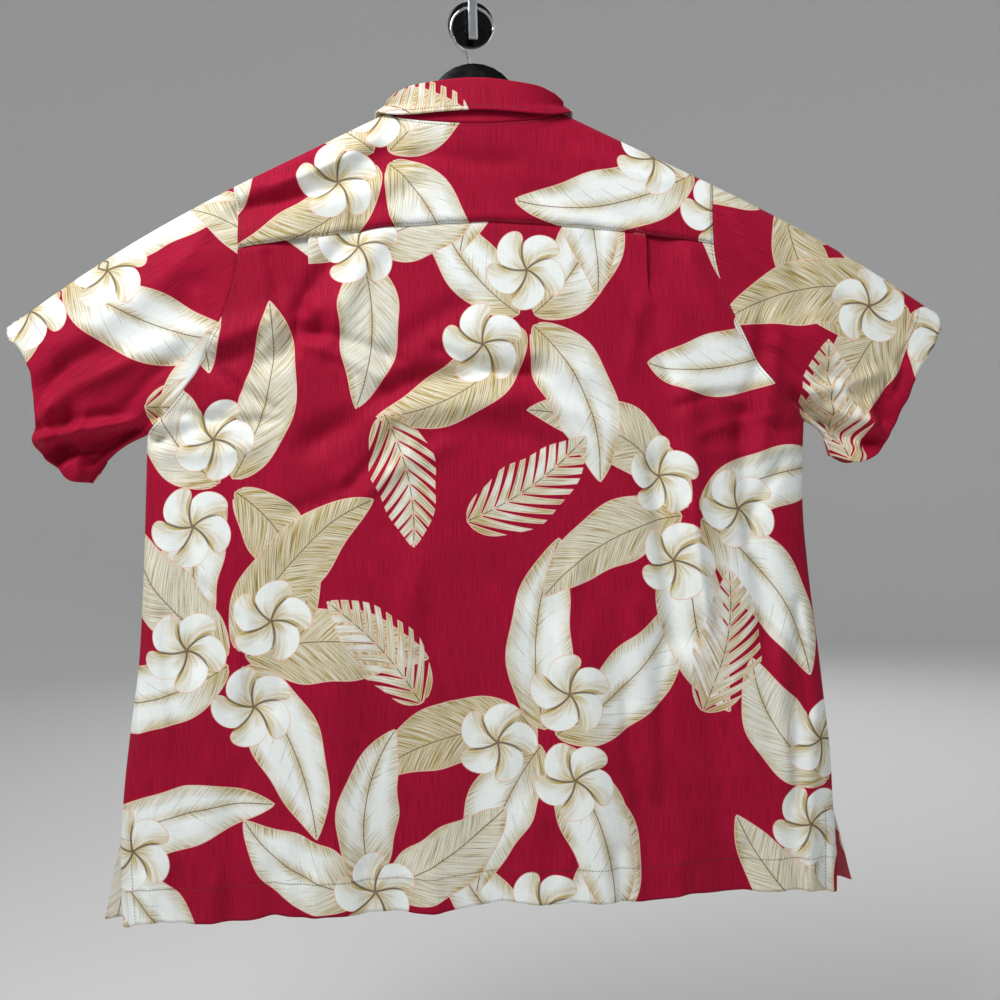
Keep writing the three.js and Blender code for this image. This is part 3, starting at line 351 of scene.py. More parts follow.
def yoke_seam_z(x):
    """Height of the seam between yoke and back."""
    end = armhole(YOKE_SIDE / armhole_length)
    return lerp(YOKE_SEAM["middle"], end[1], (np.abs(x) / end[0]) ** YOKE_SEAM["power"])


def seam_wander(x):
    """The yoke's turned edge is sewn by hand guiding, so it wanders by half a millimetre."""
    return 0.45 * np.sin(x / 19 + 1) + 0.3 * np.sin(x / 7.7)


def front_neck(share):
    """x and z on the front neckline, from its side to its middle."""
    angle = share * math.pi / 2
    x = NECK["x"] * np.cos(angle)
    return x, NECK["z"] - NECK["front_drop"] * np.sin(angle)


def front_seam_z(x):
    """Height of the seam between yoke and front."""
    (x0, z0), (x1, z1) = front_neck(YOKE_NECK_SHARE), armhole(YOKE_FORWARD / armhole_length)
    return lerp(z0, z1, (x - x0) / (x1 - x0))


def front_top_z(x):
    """The fronts' upper edge: the neckline, then the seam under the yoke."""
    neck = NECK["z"] - NECK["front_drop"] * np.sqrt(1 - clamp01(x / NECK["x"]) ** 2)
    return np.where(x > front_neck(YOKE_NECK_SHARE)[0], front_seam_z(x), neck)


def back_neck_z(x):
    """Height of the back neckline."""
    return NECK["z"] - NECK["back_drop"] * np.sqrt(1 - clamp01(np.abs(x) / NECK["x"]) ** 2)


def shoulder_z(x):
    """Height of the shoulder line."""
    return shoulder_line((np.abs(x) - NECK["x"]) / (SHOULDER[0] - NECK["x"]))[1]


def lap_height(x):
    """How far the lapping front lies over the other one."""
    return LAP * smooth((40 - x) / 22)


def to_rounded_edge(total, rounding, spacing=SPACING, tail=0):
    """Places from 0 to total, evenly spaced and then crowding into a rounded edge."""
    steps = math.ceil(rounding * math.pi / 2 / spacing) + tail
    even = np.linspace(0, total - rounding, max(2, math.ceil((total - rounding) / spacing)))
    turn = np.sin(np.linspace(0, math.pi / 2, steps + 1)[1:])
    return np.concatenate([even, total - rounding + rounding * turn])


# Cloth: grids of outer points that become walls, with the print's own coordinates on them
class Sheet:
    def __init__(self):
        self.parts, self.quads, self.count = [], [], 0

    def grid(self, points, flat, seam=None, sink=0.0, thick=1.0, level=None, flip=False):
        """Adds a grid of points. flat is where they lie on the cut cloth, seam how far from the
        nearest stitching, sink how far they lie under the next piece, thick the number of plies."""
        shape = points.shape[:2]
        seam = np.full(shape, 99.0) if seam is None else np.broadcast_to(seam, shape)
        level = np.zeros(shape) if level is None else level
        columns = [flat[..., 0], flat[..., 1], seam]
        columns += [np.broadcast_to(c, shape) for c in (sink, thick, level)]
        self.parts.append((points.reshape(-1, 3), np.stack(columns, -1).reshape(-1, 6)))
        index = self.count + np.arange(shape[0] * shape[1]).reshape(shape)
        quads = [index[:-1, :-1], index[1:, :-1], index[1:, 1:], index[:-1, 1:]]
        quads = np.stack(quads, -1).reshape(-1, 4)
        self.quads.append(quads[:, ::-1] if flip else quads)
        self.count += shape[0] * shape[1]

    def wall(self, name, ply, place, wrong_side=1.0):
        """Builds the wall: ply is the cloth's thickness, place where the print starts, and
        wrong_side is 0 where both faces are printed ones."""
        points = np.concatenate([part[0] for part in self.parts])
        columns = np.concatenate([part[1] for part in self.parts])
        _, first, where = np.unique(
            np.round(points / 0.02).astype(np.int64), axis=0, return_index=True, return_inverse=True
        )
        points, columns = points[first], columns[first]
        quads = where.reshape(-1)[np.concatenate(self.quads)]
        normals = np.zeros(points.shape)
        a, b, c, d = (points[quads[:, i]] for i in range(4))
        faces = np.cross(c - a, d - b)
        faces /= np.maximum(np.linalg.norm(faces, axis=1, keepdims=True), 1e-9)
        for i in range(4):
            np.add.at(normals, quads[:, i], faces)
        normals[:, 1] *= 1 - columns[:, 5]
        normals /= np.maximum(np.linalg.norm(normals, axis=1, keepdims=True), 1e-9)
        outer = points - normals * columns[:, 3:4]
        inner = outer - normals * ply * columns[:, 4:5]
        count = len(points)
        pairs = np.concatenate([quads[:, [i, (i + 1) % 4]] for i in range(4)])
        codes = pairs[:, 0] * count + pairs[:, 1]
        rim = pairs[~np.isin(codes, pairs[:, 1] * count + pairs[:, 0])]
        edge = np.stack([rim[:, 1], rim[:, 0], rim[:, 0] + count, rim[:, 1] + count], -1)
        everything = np.concatenate([quads, quads[:, ::-1] + count, edge])
        mesh = new_mesh(name, np.concatenate([outer, inner]), everything)
        flat = np.tile(columns[:, :3], (2, 1))
        inside = np.repeat([0.0, wrong_side], count)
        print_on(mesh, flat, inside, place)
        return mesh


def new_mesh(name, points, faces):
    """A smooth mesh from points in millimetres and rows of four indices."""
    mesh = bpy.data.meshes.new(name)
    mesh.vertices.add(len(points))
    mesh.vertices.foreach_set("co", (np.asarray(points) * MM).astype(np.float32).ravel())
    mesh.loops.add(4 * len(faces))
    mesh.loops.foreach_set("vertex_index", np.asarray(faces, np.int32).ravel())
    mesh.polygons.add(len(faces))
    mesh.polygons.foreach_set("loop_start", np.arange(0, 4 * len(faces), 4, dtype=np.int32))
    mesh.polygons.foreach_set("use_smooth", np.ones(len(faces), bool))
    mesh.update(calc_edges=True)
    mesh.validate()
    return mesh


def finished(name, mesh, material, node=None):
    """An object of a finished mesh, riding on the part's one body."""
    obj = bpy.data.objects.new(name, mesh)
    bpy.context.scene.collection.objects.link(obj)
    mesh.materials.clear()
    mesh.materials.append(material)
    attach(obj, "root")
    if node:
        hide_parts(node)
    return obj


# The print: sprays of bowed leaves round twisted five-petalled blossoms, with loose fronds between.
# It repeats every REPEAT millimetres across and down, each column dropped by half a repeat.
REPEAT = (620.0, 640.0)
BLOSSOM_RADIUS = 41.0
# centre across and up, first heading, leaves, their length and half width, blossoms
SPRAYS = [
    (95, 110, 22, 5, 190, 33, 3),
    (395, 50, 70, 4, 178, 31, 2),
    (255, 330, -34, 5, 204, 35, 3),
    (540, 285, 96, 4, 170, 30, 1),
    (85, 530, 48, 4, 184, 32, 2),
    (410, 520, 8, 5, 198, 34, 3),
]
# start across and up, heading, length, half width, bow in degrees
FRONDS = [
    (255, 130, 62, 150, 34, 30),
    (560, 120, -62, 140, 32, -34),
    (20, 330, 20, 150, 33, 28),
    (250, 560, -12, 130, 30, -30),
    (590, 470, 118, 140, 32, 26),
]
LEAF_LAYERS = 3
STALK = 9
# where the repeat starts on each cut piece, and how the piece is turned on the cloth
PRINT_PLACES = {
    "yoke": (180, 40, 0),
    "back": (40, 205, 0),
    "front_left": (300, 90, 0),
    "front_right": (-120, 370, 0),
    "sleeve_left": (90, 300, 8),
    "sleeve_right": (430, 120, -6),
    "collar": (-238, -346, 0),
}


def leaf_reach(leaf, t, across_sign):
    """Half width of a leaf's blade at a share of its length, on one side of its rib."""
    t = clamp01(t)
    blade = 2.67 * t**0.6 * (1 - t) ** 0.85
    wave = 1 + 0.05 * np.sin(17 * t + leaf["phase"]) - 0.1 * across_sign
    return leaf["width"] * blade * wave


def on_leaf(leaf, u, v):
    """Place along and across a leaf's bowed rib, and distance outside the leaf's edge."""
    heading = math.radians(leaf["heading"])
    x = (u - leaf["u"]) * math.cos(heading) + (v - leaf["v"]) * math.sin(heading)
    y = (v - leaf["v"]) * math.cos(heading) - (u - leaf["u"]) * math.sin(heading)
    bend = 1 if leaf["bow"] > 0 else -1
    radius = leaf["length"] / abs(math.radians(leaf["bow"]))
    y = y * bend
    along = radius * np.arctan2(x, radius - y)
    across = (radius - np.hypot(x, radius - y)) * bend
    sign = np.sign(across)
    t = along / leaf["length"]
    reach = leaf_reach(leaf, t, sign)
    slope = (leaf_reach(leaf, t + 0.01, sign) - leaf_reach(leaf, t - 0.01, sign)) / (
        0.02 * leaf["length"]
    )
    beside = (np.abs(across) - reach) / np.sqrt(1 + slope**2)
    beyond = np.hypot(along - np.clip(along, 0, leaf["length"]), across)
    return along, across, np.where((t < 0) | (t > 1), beyond, beside)


def repeats_near(u, v, reach):
    """The shifts by which a motif at u, v can come within reach, for the given ranges."""
    wide, high = REPEAT
    for i in range(math.floor((u[0] - reach) / wide), math.ceil((u[1] + reach) / wide) + 1):
        low = (v[0] - reach - i * high / 2) / high
        top = (v[1] + reach - i * high / 2) / high
        for j in range(math.floor(low), math.ceil(top) + 1):
            yield i * wide, j * high + i * high / 2


def lay_out_print():
    """One repeat: layers of leaves that never touch within a layer, and the blossoms."""
    draw = np.random.default_rng(7)
    leaves, blossoms = [], []
    for u, v, heading, count, length, width, flowers in SPRAYS:
        for i in range(count):
            turn = heading + 360 * i / count + draw.uniform(-14, 14)
            leaves.append({
                "u": u + STALK * math.cos(math.radians(turn)),
                "v": v + STALK * math.sin(math.radians(turn)),
                "heading": turn,
                "length": length * draw.uniform(0.82, 1.1),
                "width": width * draw.uniform(0.85, 1.12),
                "bow": draw.choice([-1, 1]) * draw.uniform(28, 62),
                "phase": draw.uniform(0, 6),
                "frond": 0.0,
                "tone": max(0.0, draw.uniform(-1.2, 0.95)),
            })
        for i in range(flowers):
            turn = math.radians(heading + 40 + 120 * i)
            away = 50 if flowers > 1 else 0
            place = u + away * math.cos(turn), v + away * math.sin(turn)
            blossoms.append((*place, heading + 50 * i))
    for u, v, heading, length, width, bow in FRONDS:
        leaves.append({
            "u": u, "v": v, "heading": heading, "length": length, "width": width,
            "bow": bow, "phase": 1.0, "frond": 1.0, "tone": 0.0,
        })
    layers = [[] for _ in range(LEAF_LAYERS)]
    for leaf in leaves:
        u, v = leaf_outline(leaf)
        for layer in layers:
            if all(leaf_gap(other, u, v) > 8 for other in layer):
                layer.append(leaf)
                break
    return layers, blossoms


def leaf_outline(leaf):
    """Points on a leaf's rib and edge, as places of the print."""
    radius = leaf["length"] / math.radians(leaf["bow"])
    points = []
    for t in np.linspace(0, 1, 15):
        angle = t * math.radians(leaf["bow"])
        for sign in (-1, 0, 1):
            off = sign * leaf_reach(leaf, t, sign)
            x, y = (radius - off) * math.sin(angle), radius - (radius - off) * math.cos(angle)
            points.append((x, y))
    x, y = np.array(points).T
    heading = math.radians(leaf["heading"])
    u = leaf["u"] + x * math.cos(heading) - y * math.sin(heading)
    v = leaf["v"] + x * math.sin(heading) + y * math.cos(heading)
    return u, v


def leaf_gap(leaf, u, v):
    """The nearest that any repeat of a leaf comes to these places."""
    nearest = 1e9
    ranges = (u.min() - leaf["u"], u.max() - leaf["u"]), (v.min() - leaf["v"], v.max() - leaf["v"])
    for du, dv in repeats_near(*ranges, leaf["length"]):
        nearest = min(nearest, on_leaf(leaf, u - du, v - dv)[2].min())
    return nearest


LEAVES, BLOSSOMS = lay_out_print()


def print_on(mesh, flat, inside, place):
    """Stores where each vertex lies on the cloth and on the nearest motif of each layer."""
    shift_u, shift_v, degrees = place
    turn = math.radians(degrees)
    u = flat[:, 0] * math.cos(turn) - flat[:, 1] * math.sin(turn) + shift_u
    v = flat[:, 0] * math.sin(turn) + flat[:, 1] * math.cos(turn) + shift_v
    span_u, span_v = (u.min(), u.max()), (v.min(), v.max())
    store(mesh, "cloth", np.stack([flat[:, 0], flat[:, 1], flat[:, 2]], -1))
    store(mesh, "inside", inside)
    for number, layer in enumerate(LEAVES):
        best = np.tile([0.0, 0.0, 99.0], (len(u), 1))
        look = np.zeros((2, len(u)))
        for leaf in layer:
            reach = leaf["length"] + leaf["width"]
            ranges = (
                (span_u[0] - leaf["u"], span_u[1] - leaf["u"]),
                (span_v[0] - leaf["v"], span_v[1] - leaf["v"]),
            )
            for du, dv in repeats_near(*ranges, reach):
                pu, pv = u - du, v - dv
                near = np.nonzero(np.hypot(pu - leaf["u"], pv - leaf["v"]) < reach)[0]
                if not len(near):
                    continue
                found = np.stack(on_leaf(leaf, pu[near], pv[near]), -1)
                closer = found[:, 2] < best[near, 2]
                best[near[closer]] = found[closer]
                look[:, near[closer]] = [[leaf["frond"]], [leaf["tone"]]]
        store(mesh, f"leaf_{number}", best)
        store(mesh, f"frond_{number}", look[0])
        store(mesh, f"tone_{number}", look[1])
    best = np.tile([0.0, 0.0, 99.0], (len(u), 1))
    for bu, bv, degrees in BLOSSOMS:
        ranges = (span_u[0] - bu, span_u[1] - bu), (span_v[0] - bv, span_v[1] - bv)
        turn = math.radians(degrees)
        for du, dv in repeats_near(*ranges, 2 * BLOSSOM_RADIUS):
            x, y = u - du - bu, v - dv - bv
            outside = np.hypot(x, y) - BLOSSOM_RADIUS
            closer = outside < best[:, 2]
            turned = np.stack(
                [
                    x * math.cos(turn) + y * math.sin(turn),
                    y * math.cos(turn) - x * math.sin(turn),
                    outside,
                ],
                -1,
            )
            best[closer] = turned[closer]
    store(mesh, "blossom", best)


def store(mesh, name, values):
    """Keeps a number or a vector for each vertex."""
    kind = "FLOAT_VECTOR" if values.ndim > 1 else "FLOAT"
    attribute = mesh.attributes.new(name, kind, "POINT")
    field = "vector" if values.ndim > 1 else "value"
    attribute.data.foreach_set(field, values.astype(np.float32).ravel())


# Materials
def linear(hex_colour):
    """An sRGB hex colour as linear RGBA."""
    parts = [int(hex_colour[i : i + 2], 16) / 255 for i in (1, 3, 5)]
    return [p / 12.92 if p <= 0.04045 else ((p + 0.055) / 1.055) ** 2.4 for p in parts] + [1.0]


def put(tree, kind, *inputs, named=None, **settings):
    """Adds a node. Inputs are numbers, colours, sockets or nodes, by order or by name."""
    node = tree.nodes.new(kind)
    for key, value in settings.items():
        setattr(node, key, value)
    for key, value in [*enumerate(inputs), *(named or {}).items()]:
        if value is None:
            continue
        socket = node.inputs[key]
        if isinstance(value, bpy.types.Node):
            value = value.outputs[0]
        if isinstance(value, bpy.types.NodeSocket):
            tree.links.new(value, socket)
        else:
            socket.default_value = value
    return node


MATH, MIX, RANGE = "ShaderNodeMath", "ShaderNodeMix", "ShaderNodeMapRange"
SPLIT, JOIN, NOISE = "ShaderNodeSeparateXYZ", "ShaderNodeCombineXYZ", "ShaderNodeTexNoise"
ATTRIBUTE, COORDINATES, BUMP = "ShaderNodeAttribute", "ShaderNodeTexCoord", "ShaderNodeBump"
# a colour mix's inputs by number: the share is 0, the two colours are these
UNDER, OVER = 6, 7


def new_material(name):
    """A material with an empty tree."""
    material = bpy.data.materials.new(name)
    material.use_nodes = True
    material.node_tree.nodes.clear()
    return material, material.node_tree


def surfaced(material, sockets):
    """Ends a material's tree in a shader that has these sockets set or linked."""
    shader = put(material.node_tree, "ShaderNodeBsdfPrincipled", named=sockets)
    put(material.node_tree, "ShaderNodeOutputMaterial", shader)
    return material


def leaf_group(colours):
    """One layer of printed leaves: cream blades washed with gold, drawn with pen veins."""
    group = bpy.data.node_groups.new("printed leaf", "ShaderNodeTree")
    face = group.interface
    for name, way, kind in (
        ("Leaf", "INPUT", "Vector"), ("Frond", "INPUT", "Float"), ("Seed", "INPUT", "Float"),
        ("Tone", "INPUT", "Float"), ("Colour", "OUTPUT", "Color"), ("Cover", "OUTPUT", "Float"),
    ):
        face.new_socket(name, in_out=way, socket_type="NodeSocket" + kind)
    entry = put(group, "NodeGroupInput")
    place = put(group, SPLIT, entry.outputs["Leaf"])
    along, across, outside = place.outputs
    from_rib = put(group, MATH, across, operation="ABSOLUTE")
    # veins leave the rib at about 40 degrees
    slant = put(group, MATH, from_rib, -1.15, along, operation="MULTIPLY_ADD")
    # fronds are cut into leaflets every 15 mm, with gaps that widen outwards
    saw = put(group, MATH, slant, 7.5, operation="PINGPONG")
    gap = put(group, MATH, from_rib, 0.1, 0.7, operation="MULTIPLY_ADD")
    cut = put(group, MATH, gap, saw, operation="SUBTRACT")
    near_rib = put(group, MATH, from_rib, 1.6, operation="SUBTRACT")
    cut = put(group, MATH, cut, near_rib, operation="MINIMUM")
    whole = put(group, MATH, entry.outputs["Frond"], -60.0, 60.0, operation="MULTIPLY_ADD")
    cut = put(group, MATH, cut, whole, operation="SUBTRACT")
    edge = put(group, MATH, outside, cut, operation="MAXIMUM")
    cover = put(group, RANGE, edge, 0.15, -0.15, 0.0, 1.0)
    depth = put(group, MATH, edge, -1.0, operation="MULTIPLY")
    # brush streaks run along the veins
    streak_u = put(group, MATH, slant, 0.8, operation="MULTIPLY")
    streak_v = put(group, MATH, across, 0.04, operation="MULTIPLY")
    streak_at = put(group, JOIN, streak_u, streak_v, entry.outputs["Seed"])
    streaks = put(group, NOISE, named={"Vector": streak_at, "Scale": 1.0, "Detail": 3.0})
    streak = put(group, RANGE, streaks.outputs[0], 0.38, 0.62, 0.0, 1.0)
    broad_u = put(group, MATH, along, 0.022, operation="MULTIPLY")
    broad_at = put(group, JOIN, broad_u, streak_v, entry.outputs["Seed"])
    broad = put(group, NOISE, named={"Vector": broad_at, "Scale": 1.0, "Detail": 1.0})
    patch = put(group, RANGE, broad.outputs[0], 0.34, 0.6, 0.2, 1.0)
    rim = put(group, RANGE, depth, 13.0, 1.5, 0.0, 1.0)
    heart = put(group, RANGE, from_rib, 8.0, 0.5, 0.0, 0.9)
    base = put(group, RANGE, along, 60.0, 14.0, 0.0, 1.0)
    wash = put(group, MATH, rim, heart, operation="MAXIMUM")
    wash = put(group, MATH, wash, patch, operation="MULTIPLY")
    wash = put(group, MATH, wash, base, operation="MAXIMUM")
    wash = put(group, MATH, wash, entry.outputs["Tone"], operation="MAXIMUM")
    drawn = put(group, MATH, streak, 0.75, 0.4, operation="MULTIPLY_ADD")
    wash = put(group, MATH, wash, drawn, operation="MULTIPLY", use_clamp=True)
    colour = put(group, MIX, wash, named={UNDER: colours.cream, OVER: colours.gold},
                 data_type="RGBA")
    dark = put(group, RANGE, streaks.outputs[0], 0.52, 0.66, 0.0, 0.85)
    dark = put(group, MATH, dark, wash, operation="MULTIPLY")
    colour = put(group, MIX, dark, named={UNDER: colour.outputs[2], OVER: colours.olive},
                 data_type="RGBA")
    # pen lines: the rib, and a broken vein every 21 mm
    vein = put(group, MATH, slant, 10.5, operation="PINGPONG")
    vein = put(group, RANGE, vein, 0.34, 0.14, 0.0, 1.0)
    broken = put(group, RANGE, broad.outputs[0], 0.46, 0.56, 0.0, 0.8)
    vein = put(group, MATH, vein, broken, operation="MULTIPLY")
    rib = put(group, RANGE, from_rib, 0.62, 0.34, 0.0, 0.85)
    pen = put(group, MATH, vein, rib, operation="MAXIMUM")
    inner = put(group, RANGE, depth, 1.2, 2.2, 0.0, 1.0)
    pen = put(group, MATH, pen, inner, operation="MULTIPLY")
    colour = put(group, MIX, pen, named={UNDER: colour.outputs[2], OVER: colours.ink},
                 data_type="RGBA")
    outline = put(group, RANGE, depth, 1.25, 0.8, 0.0, 0.85)
    colour = put(group, MIX, outline, named={UNDER: colour.outputs[2], OVER: colours.peach},
                 data_type="RGBA")
    put(group, "NodeGroupOutput", colour.outputs[2], cover)
    return group


def put_blossom(tree, colours):
    """Colour and cover of the blossoms: five petals, each tucked under the next."""
    place = put(tree, SPLIT, put(tree, ATTRIBUTE, attribute_name="blossom").outputs["Vector"])
    x, y, outside = place.outputs
    angle = put(tree, MATH, y, x, operation="ARCTAN2")
    radius = put(tree, MATH, outside, BLOSSOM_RADIUS, operation="ADD")
    share = put(tree, MATH, radius, 1 / BLOSSOM_RADIUS, operation="MULTIPLY")
    # the petals twist by a third of a radian from the centre to the rim
    twisted = put(tree, MATH, share, 0.62, angle, operation="MULTIPLY_ADD")
    sector = put(tree, MATH, twisted, 5 / (2 * math.pi), operation="MULTIPLY")
    petal = put(tree, MATH, sector, operation="FRACT")
    # a petal's rim: round, fuller on its leading side
    lead = put(tree, MATH, petal, 0.8, operation="POWER")
    bell = put(tree, MATH, lead, math.pi, operation="MULTIPLY")
    bell = put(tree, MATH, bell, operation="SINE")
    bell = put(tree, MATH, bell, 0.5, operation="POWER")
    rim = put(tree, MATH, bell, 0.46, 0.54, operation="MULTIPLY_ADD")
    depth = put(tree, MATH, rim, share, operation="SUBTRACT")
    depth = put(tree, MATH, depth, BLOSSOM_RADIUS, operation="MULTIPLY")
    outer = put(tree, MATH, outside, -1.0, operation="MULTIPLY")
    depth = put(tree, MATH, depth, outer, operation="MINIMUM")
    cover = put(tree, RANGE, depth, -0.15, 0.15, 0.0, 1.0)
    streak_at = put(tree, JOIN, put(tree, MATH, sector, 9.0, operation="MULTIPLY"),
                    put(tree, MATH, share, 1.4, operation="MULTIPLY"), 3.0)
    streaks = put(tree, NOISE, named={"Vector": streak_at, "Scale": 1.0, "Detail": 3.0})
    streak = put(tree, RANGE, streaks.outputs[0], 0.38, 0.62, 0.3, 1.15)
    heart = put(tree, RANGE, share, 0.55, 0.12, 0.0, 1.0)
    shade = put(tree, RANGE, petal, 0.5, 0.02, 0.0, 1.0)
    wash = put(tree, MATH, heart, shade, operation="MAXIMUM")
    wash = put(tree, MATH, wash, streak, operation="MULTIPLY")
    colour = put(tree, MIX, wash, named={UNDER: colours.cream, OVER: colours.gold},
                 data_type="RGBA")
    fold = put(tree, MATH, petal, 0.5, operation="PINGPONG")
    width = put(tree, MATH, share, 14.0, operation="MULTIPLY")
    line = put(tree, MATH, fold, width, operation="MULTIPLY")
    line = put(tree, RANGE, line, 0.42, 0.16, 0.0, 0.85)
    centre = put(tree, RANGE, share, 0.09, 0.05, 0.0, 0.8)
    pen = put(tree, MATH, line, centre, operation="MAXIMUM")
    colour = put(tree, MIX, pen, named={UNDER: colour.outputs[2], OVER: colours.ink},
                 data_type="RGBA")
    outline = put(tree, RANGE, depth, 1.25, 0.8, 0.0, 0.85)
    colour = put(tree, MIX, outline, named={UNDER: colour.outputs[2], OVER: colours.peach},
                 data_type="RGBA")
    return colour.outputs[2], cover


def printed_rayon(colours):
    """Spun rayon, screen printed: a soft matt face with upright slubs and a low sheen."""
    material, tree = new_material("screen-printed spun rayon")
    cloth = put(tree, ATTRIBUTE, attribute_name="cloth")
    place = put(tree, SPLIT, cloth.outputs["Vector"])
    across, up, from_seam = place.outputs
    # slubs: threads about 0.9 mm apart that thicken over some 30 mm
    slub_at = put(tree, JOIN, put(tree, MATH, across, 1 / 0.9, operation="MULTIPLY"),
                  put(tree, MATH, up, 1 / 30, operation="MULTIPLY"), 0.0)
    slubs = put(tree, NOISE, named={"Vector": slub_at, "Scale": 1.0, "Detail": 2.0})
    slub = put(tree, RANGE, slubs.outputs[0], 0.42, 0.72, 0.0, 1.0)
    weft_at = put(tree, JOIN, put(tree, MATH, across, 1 / 14, operation="MULTIPLY"),
                  put(tree, MATH, up, 1 / 0.8, operation="MULTIPLY"), 0.0)
    weft = put(tree, NOISE, named={"Vector": weft_at, "Scale": 1.0, "Detail": 2.0})
    cloudy = put(tree, NOISE,
                 named={"Vector": cloth.outputs["Vector"], "Scale": 0.012, "Detail": 3.0})
    clouds = put(tree, RANGE, cloudy.outputs[0], 0.35, 0.65, 0.0, 0.5)
    ground = put(tree, MIX, clouds, named={UNDER: colours.crimson, OVER: colours.deep},
                 data_type="RGBA")
    dyed = put(tree, MATH, slub, 0.55, operation="MULTIPLY")
    colour = put(tree, MIX, dyed, named={UNDER: ground.outputs[2], OVER: colours.dark},
                 data_type="RGBA")
    group = leaf_group(colours)
    for number in range(LEAF_LAYERS):
        leaf, frond, tone = (
            put(tree, ATTRIBUTE, attribute_name=f"{kind}_{number}")
            for kind in ("leaf", "frond", "tone")
        )
        layer = put(tree, "ShaderNodeGroup", node_tree=group)
        tree.links.new(leaf.outputs["Vector"], layer.inputs["Leaf"])
        tree.links.new(frond.outputs["Fac"], layer.inputs["Frond"])
        tree.links.new(tone.outputs["Fac"], layer.inputs["Tone"])
        layer.inputs["Seed"].default_value = 5.0 * number
        colour = put(tree, MIX, layer.outputs["Cover"], data_type="RGBA",
                     named={UNDER: colour.outputs[2], OVER: layer.outputs["Colour"]})
    petals, cover = put_blossom(tree, colours)
    colour = put(tree, MIX, cover, named={UNDER: colour.outputs[2], OVER: petals}, data_type="RGBA")
    # yarn shows through the ink a little, and the wrong side takes less of it
    yarn = put(tree, MATH, slubs.outputs[0], weft.outputs[0], operation="ADD")
    yarn = put(tree, RANGE, yarn, 0.75, 1.25, 1.03, 0.93)
    colour = put(tree, "ShaderNodeVectorMath", colour.outputs[2], yarn, operation="MULTIPLY")
    inside = put(tree, ATTRIBUTE, attribute_name="inside")
    wrong = put(tree, MATH, inside.outputs["Fac"], 0.16, operation="MULTIPLY")
    colour = put(tree, MIX, wrong, named={UNDER: colour, OVER: colours.wrong_side},
                 data_type="RGBA")
    # the stitch line draws the cloth in and puckers it for a few millimetres on each side
    near = put(tree, MATH, from_seam, 0.55, operation="MULTIPLY")
    near = put(tree, MATH, near, 2.0, operation="POWER")
    near = put(tree, MATH, near, -1.0, operation="MULTIPLY")
    groove = put(tree, MATH, near, operation="EXPONENT")
    wide = put(tree, RANGE, put(tree, MATH, from_seam, operation="ABSOLUTE"), 9.0, 0.0, 0.0, 1.0)
    pucker = put(tree, NOISE,
                 named={"Vector": cloth.outputs["Vector"], "Scale": 0.16, "Detail": 1.0})
    pucker = put(tree, MATH, pucker.outputs[0], wide, operation="MULTIPLY")
    height = put(tree, MATH, groove, -0.35, pucker, operation="MULTIPLY_ADD")
    threads = put(tree, MATH, slubs.outputs[0], weft.outputs[0], operation="ADD")
    height = put(tree, MATH, threads, 0.16, height, operation="MULTIPLY_ADD")
    bump = put(tree, BUMP,
               named={"Strength": 0.6, "Distance": 0.9 * MM, "Height": height})
    rough = put(tree, RANGE, slubs.outputs[0], 0.3, 0.7, 0.66, 0.8)
    return surfaced(material, {
        "Base Color": colour.outputs[2], "Roughness": rough, "Normal": bump,
        "Sheen Weight": 0.02, "Sheen Roughness": 0.45, "Specular IOR Level": 0.12,
    })


def spun_thread(colours):
    """Polyester sewing thread: two plies twisted, with a faint gloss along them, and painted shade
    darkening it between the plies.
    """
    material, tree = new_material("twisted polyester thread")
    place = put(tree, COORDINATES)
    # plies show every 0.5 mm as painted shade in the grooves between them
    twist = put(tree, NOISE, named={"Vector": place.outputs["Object"], "Scale": 1 / (0.5 * MM)})
    colour = put(tree, MIX, twist.outputs[0],
                 named={UNDER: colours.thread, OVER: colours.thread_dark}, data_type="RGBA")
    return surfaced(material, {"Base Color": colour.outputs[2], "Roughness": 0.55})


def cast_resin(colours):
    """Cast polyester resin made to look like shell: polished, faintly clouded."""
    material, tree = new_material("shell-effect polyester resin")
    place = put(tree, COORDINATES)
    cloud = put(tree, NOISE, named={
        "Vector": place.outputs["Object"], "Scale": 1 / (6 * MM), "Detail": 3.0, "Distortion": 1.2,
    })
    colour = put(tree, MIX, put(tree, RANGE, cloud.outputs[0], 0.35, 0.65, 0.0, 1.0),
                 named={UNDER: colours.shell, OVER: colours.shell_dark}, data_type="RGBA")
    return surfaced(material, {
        "Base Color": colour.outputs[2], "Roughness": 0.22, "IOR": 1.56, "Coat Weight": 0.3,
    })


def moulded_black(colours):
    """High-impact polystyrene, moulded: satin black with soft scuffs from hangers rubbing."""
    material, tree = new_material("moulded polystyrene")
    place = put(tree, COORDINATES)
    # spark-eroded mould texture, drawn at 0.8 mm so that it shows
    grain = put(tree, NOISE, named={
        "Vector": place.outputs["Object"], "Scale": 1 / (0.8 * MM), "Detail": 2.0,
    })
    scuff = put(tree, NOISE, named={
        "Vector": place.outputs["Object"], "Scale": 1 / (18 * MM), "Detail": 5.0, "Distortion": 1.5,
    })
    rough = put(tree, RANGE, scuff.outputs[0], 0.35, 0.7, 0.2, 0.42)
    colour = put(tree, MIX, put(tree, RANGE, scuff.outputs[0], 0.55, 0.75, 0.0, 1.0),
                 named={UNDER: colours.black, OVER: colours.black_worn}, data_type="RGBA")
    bump = put(tree, BUMP,
               named={"Strength": 0.12, "Distance": 0.2 * MM, "Height": grain.outputs[0]})
    return surfaced(material, {
        "Base Color": colour.outputs[2], "Roughness": rough, "Normal": bump,
        "Specular IOR Level": 0.12,
    })


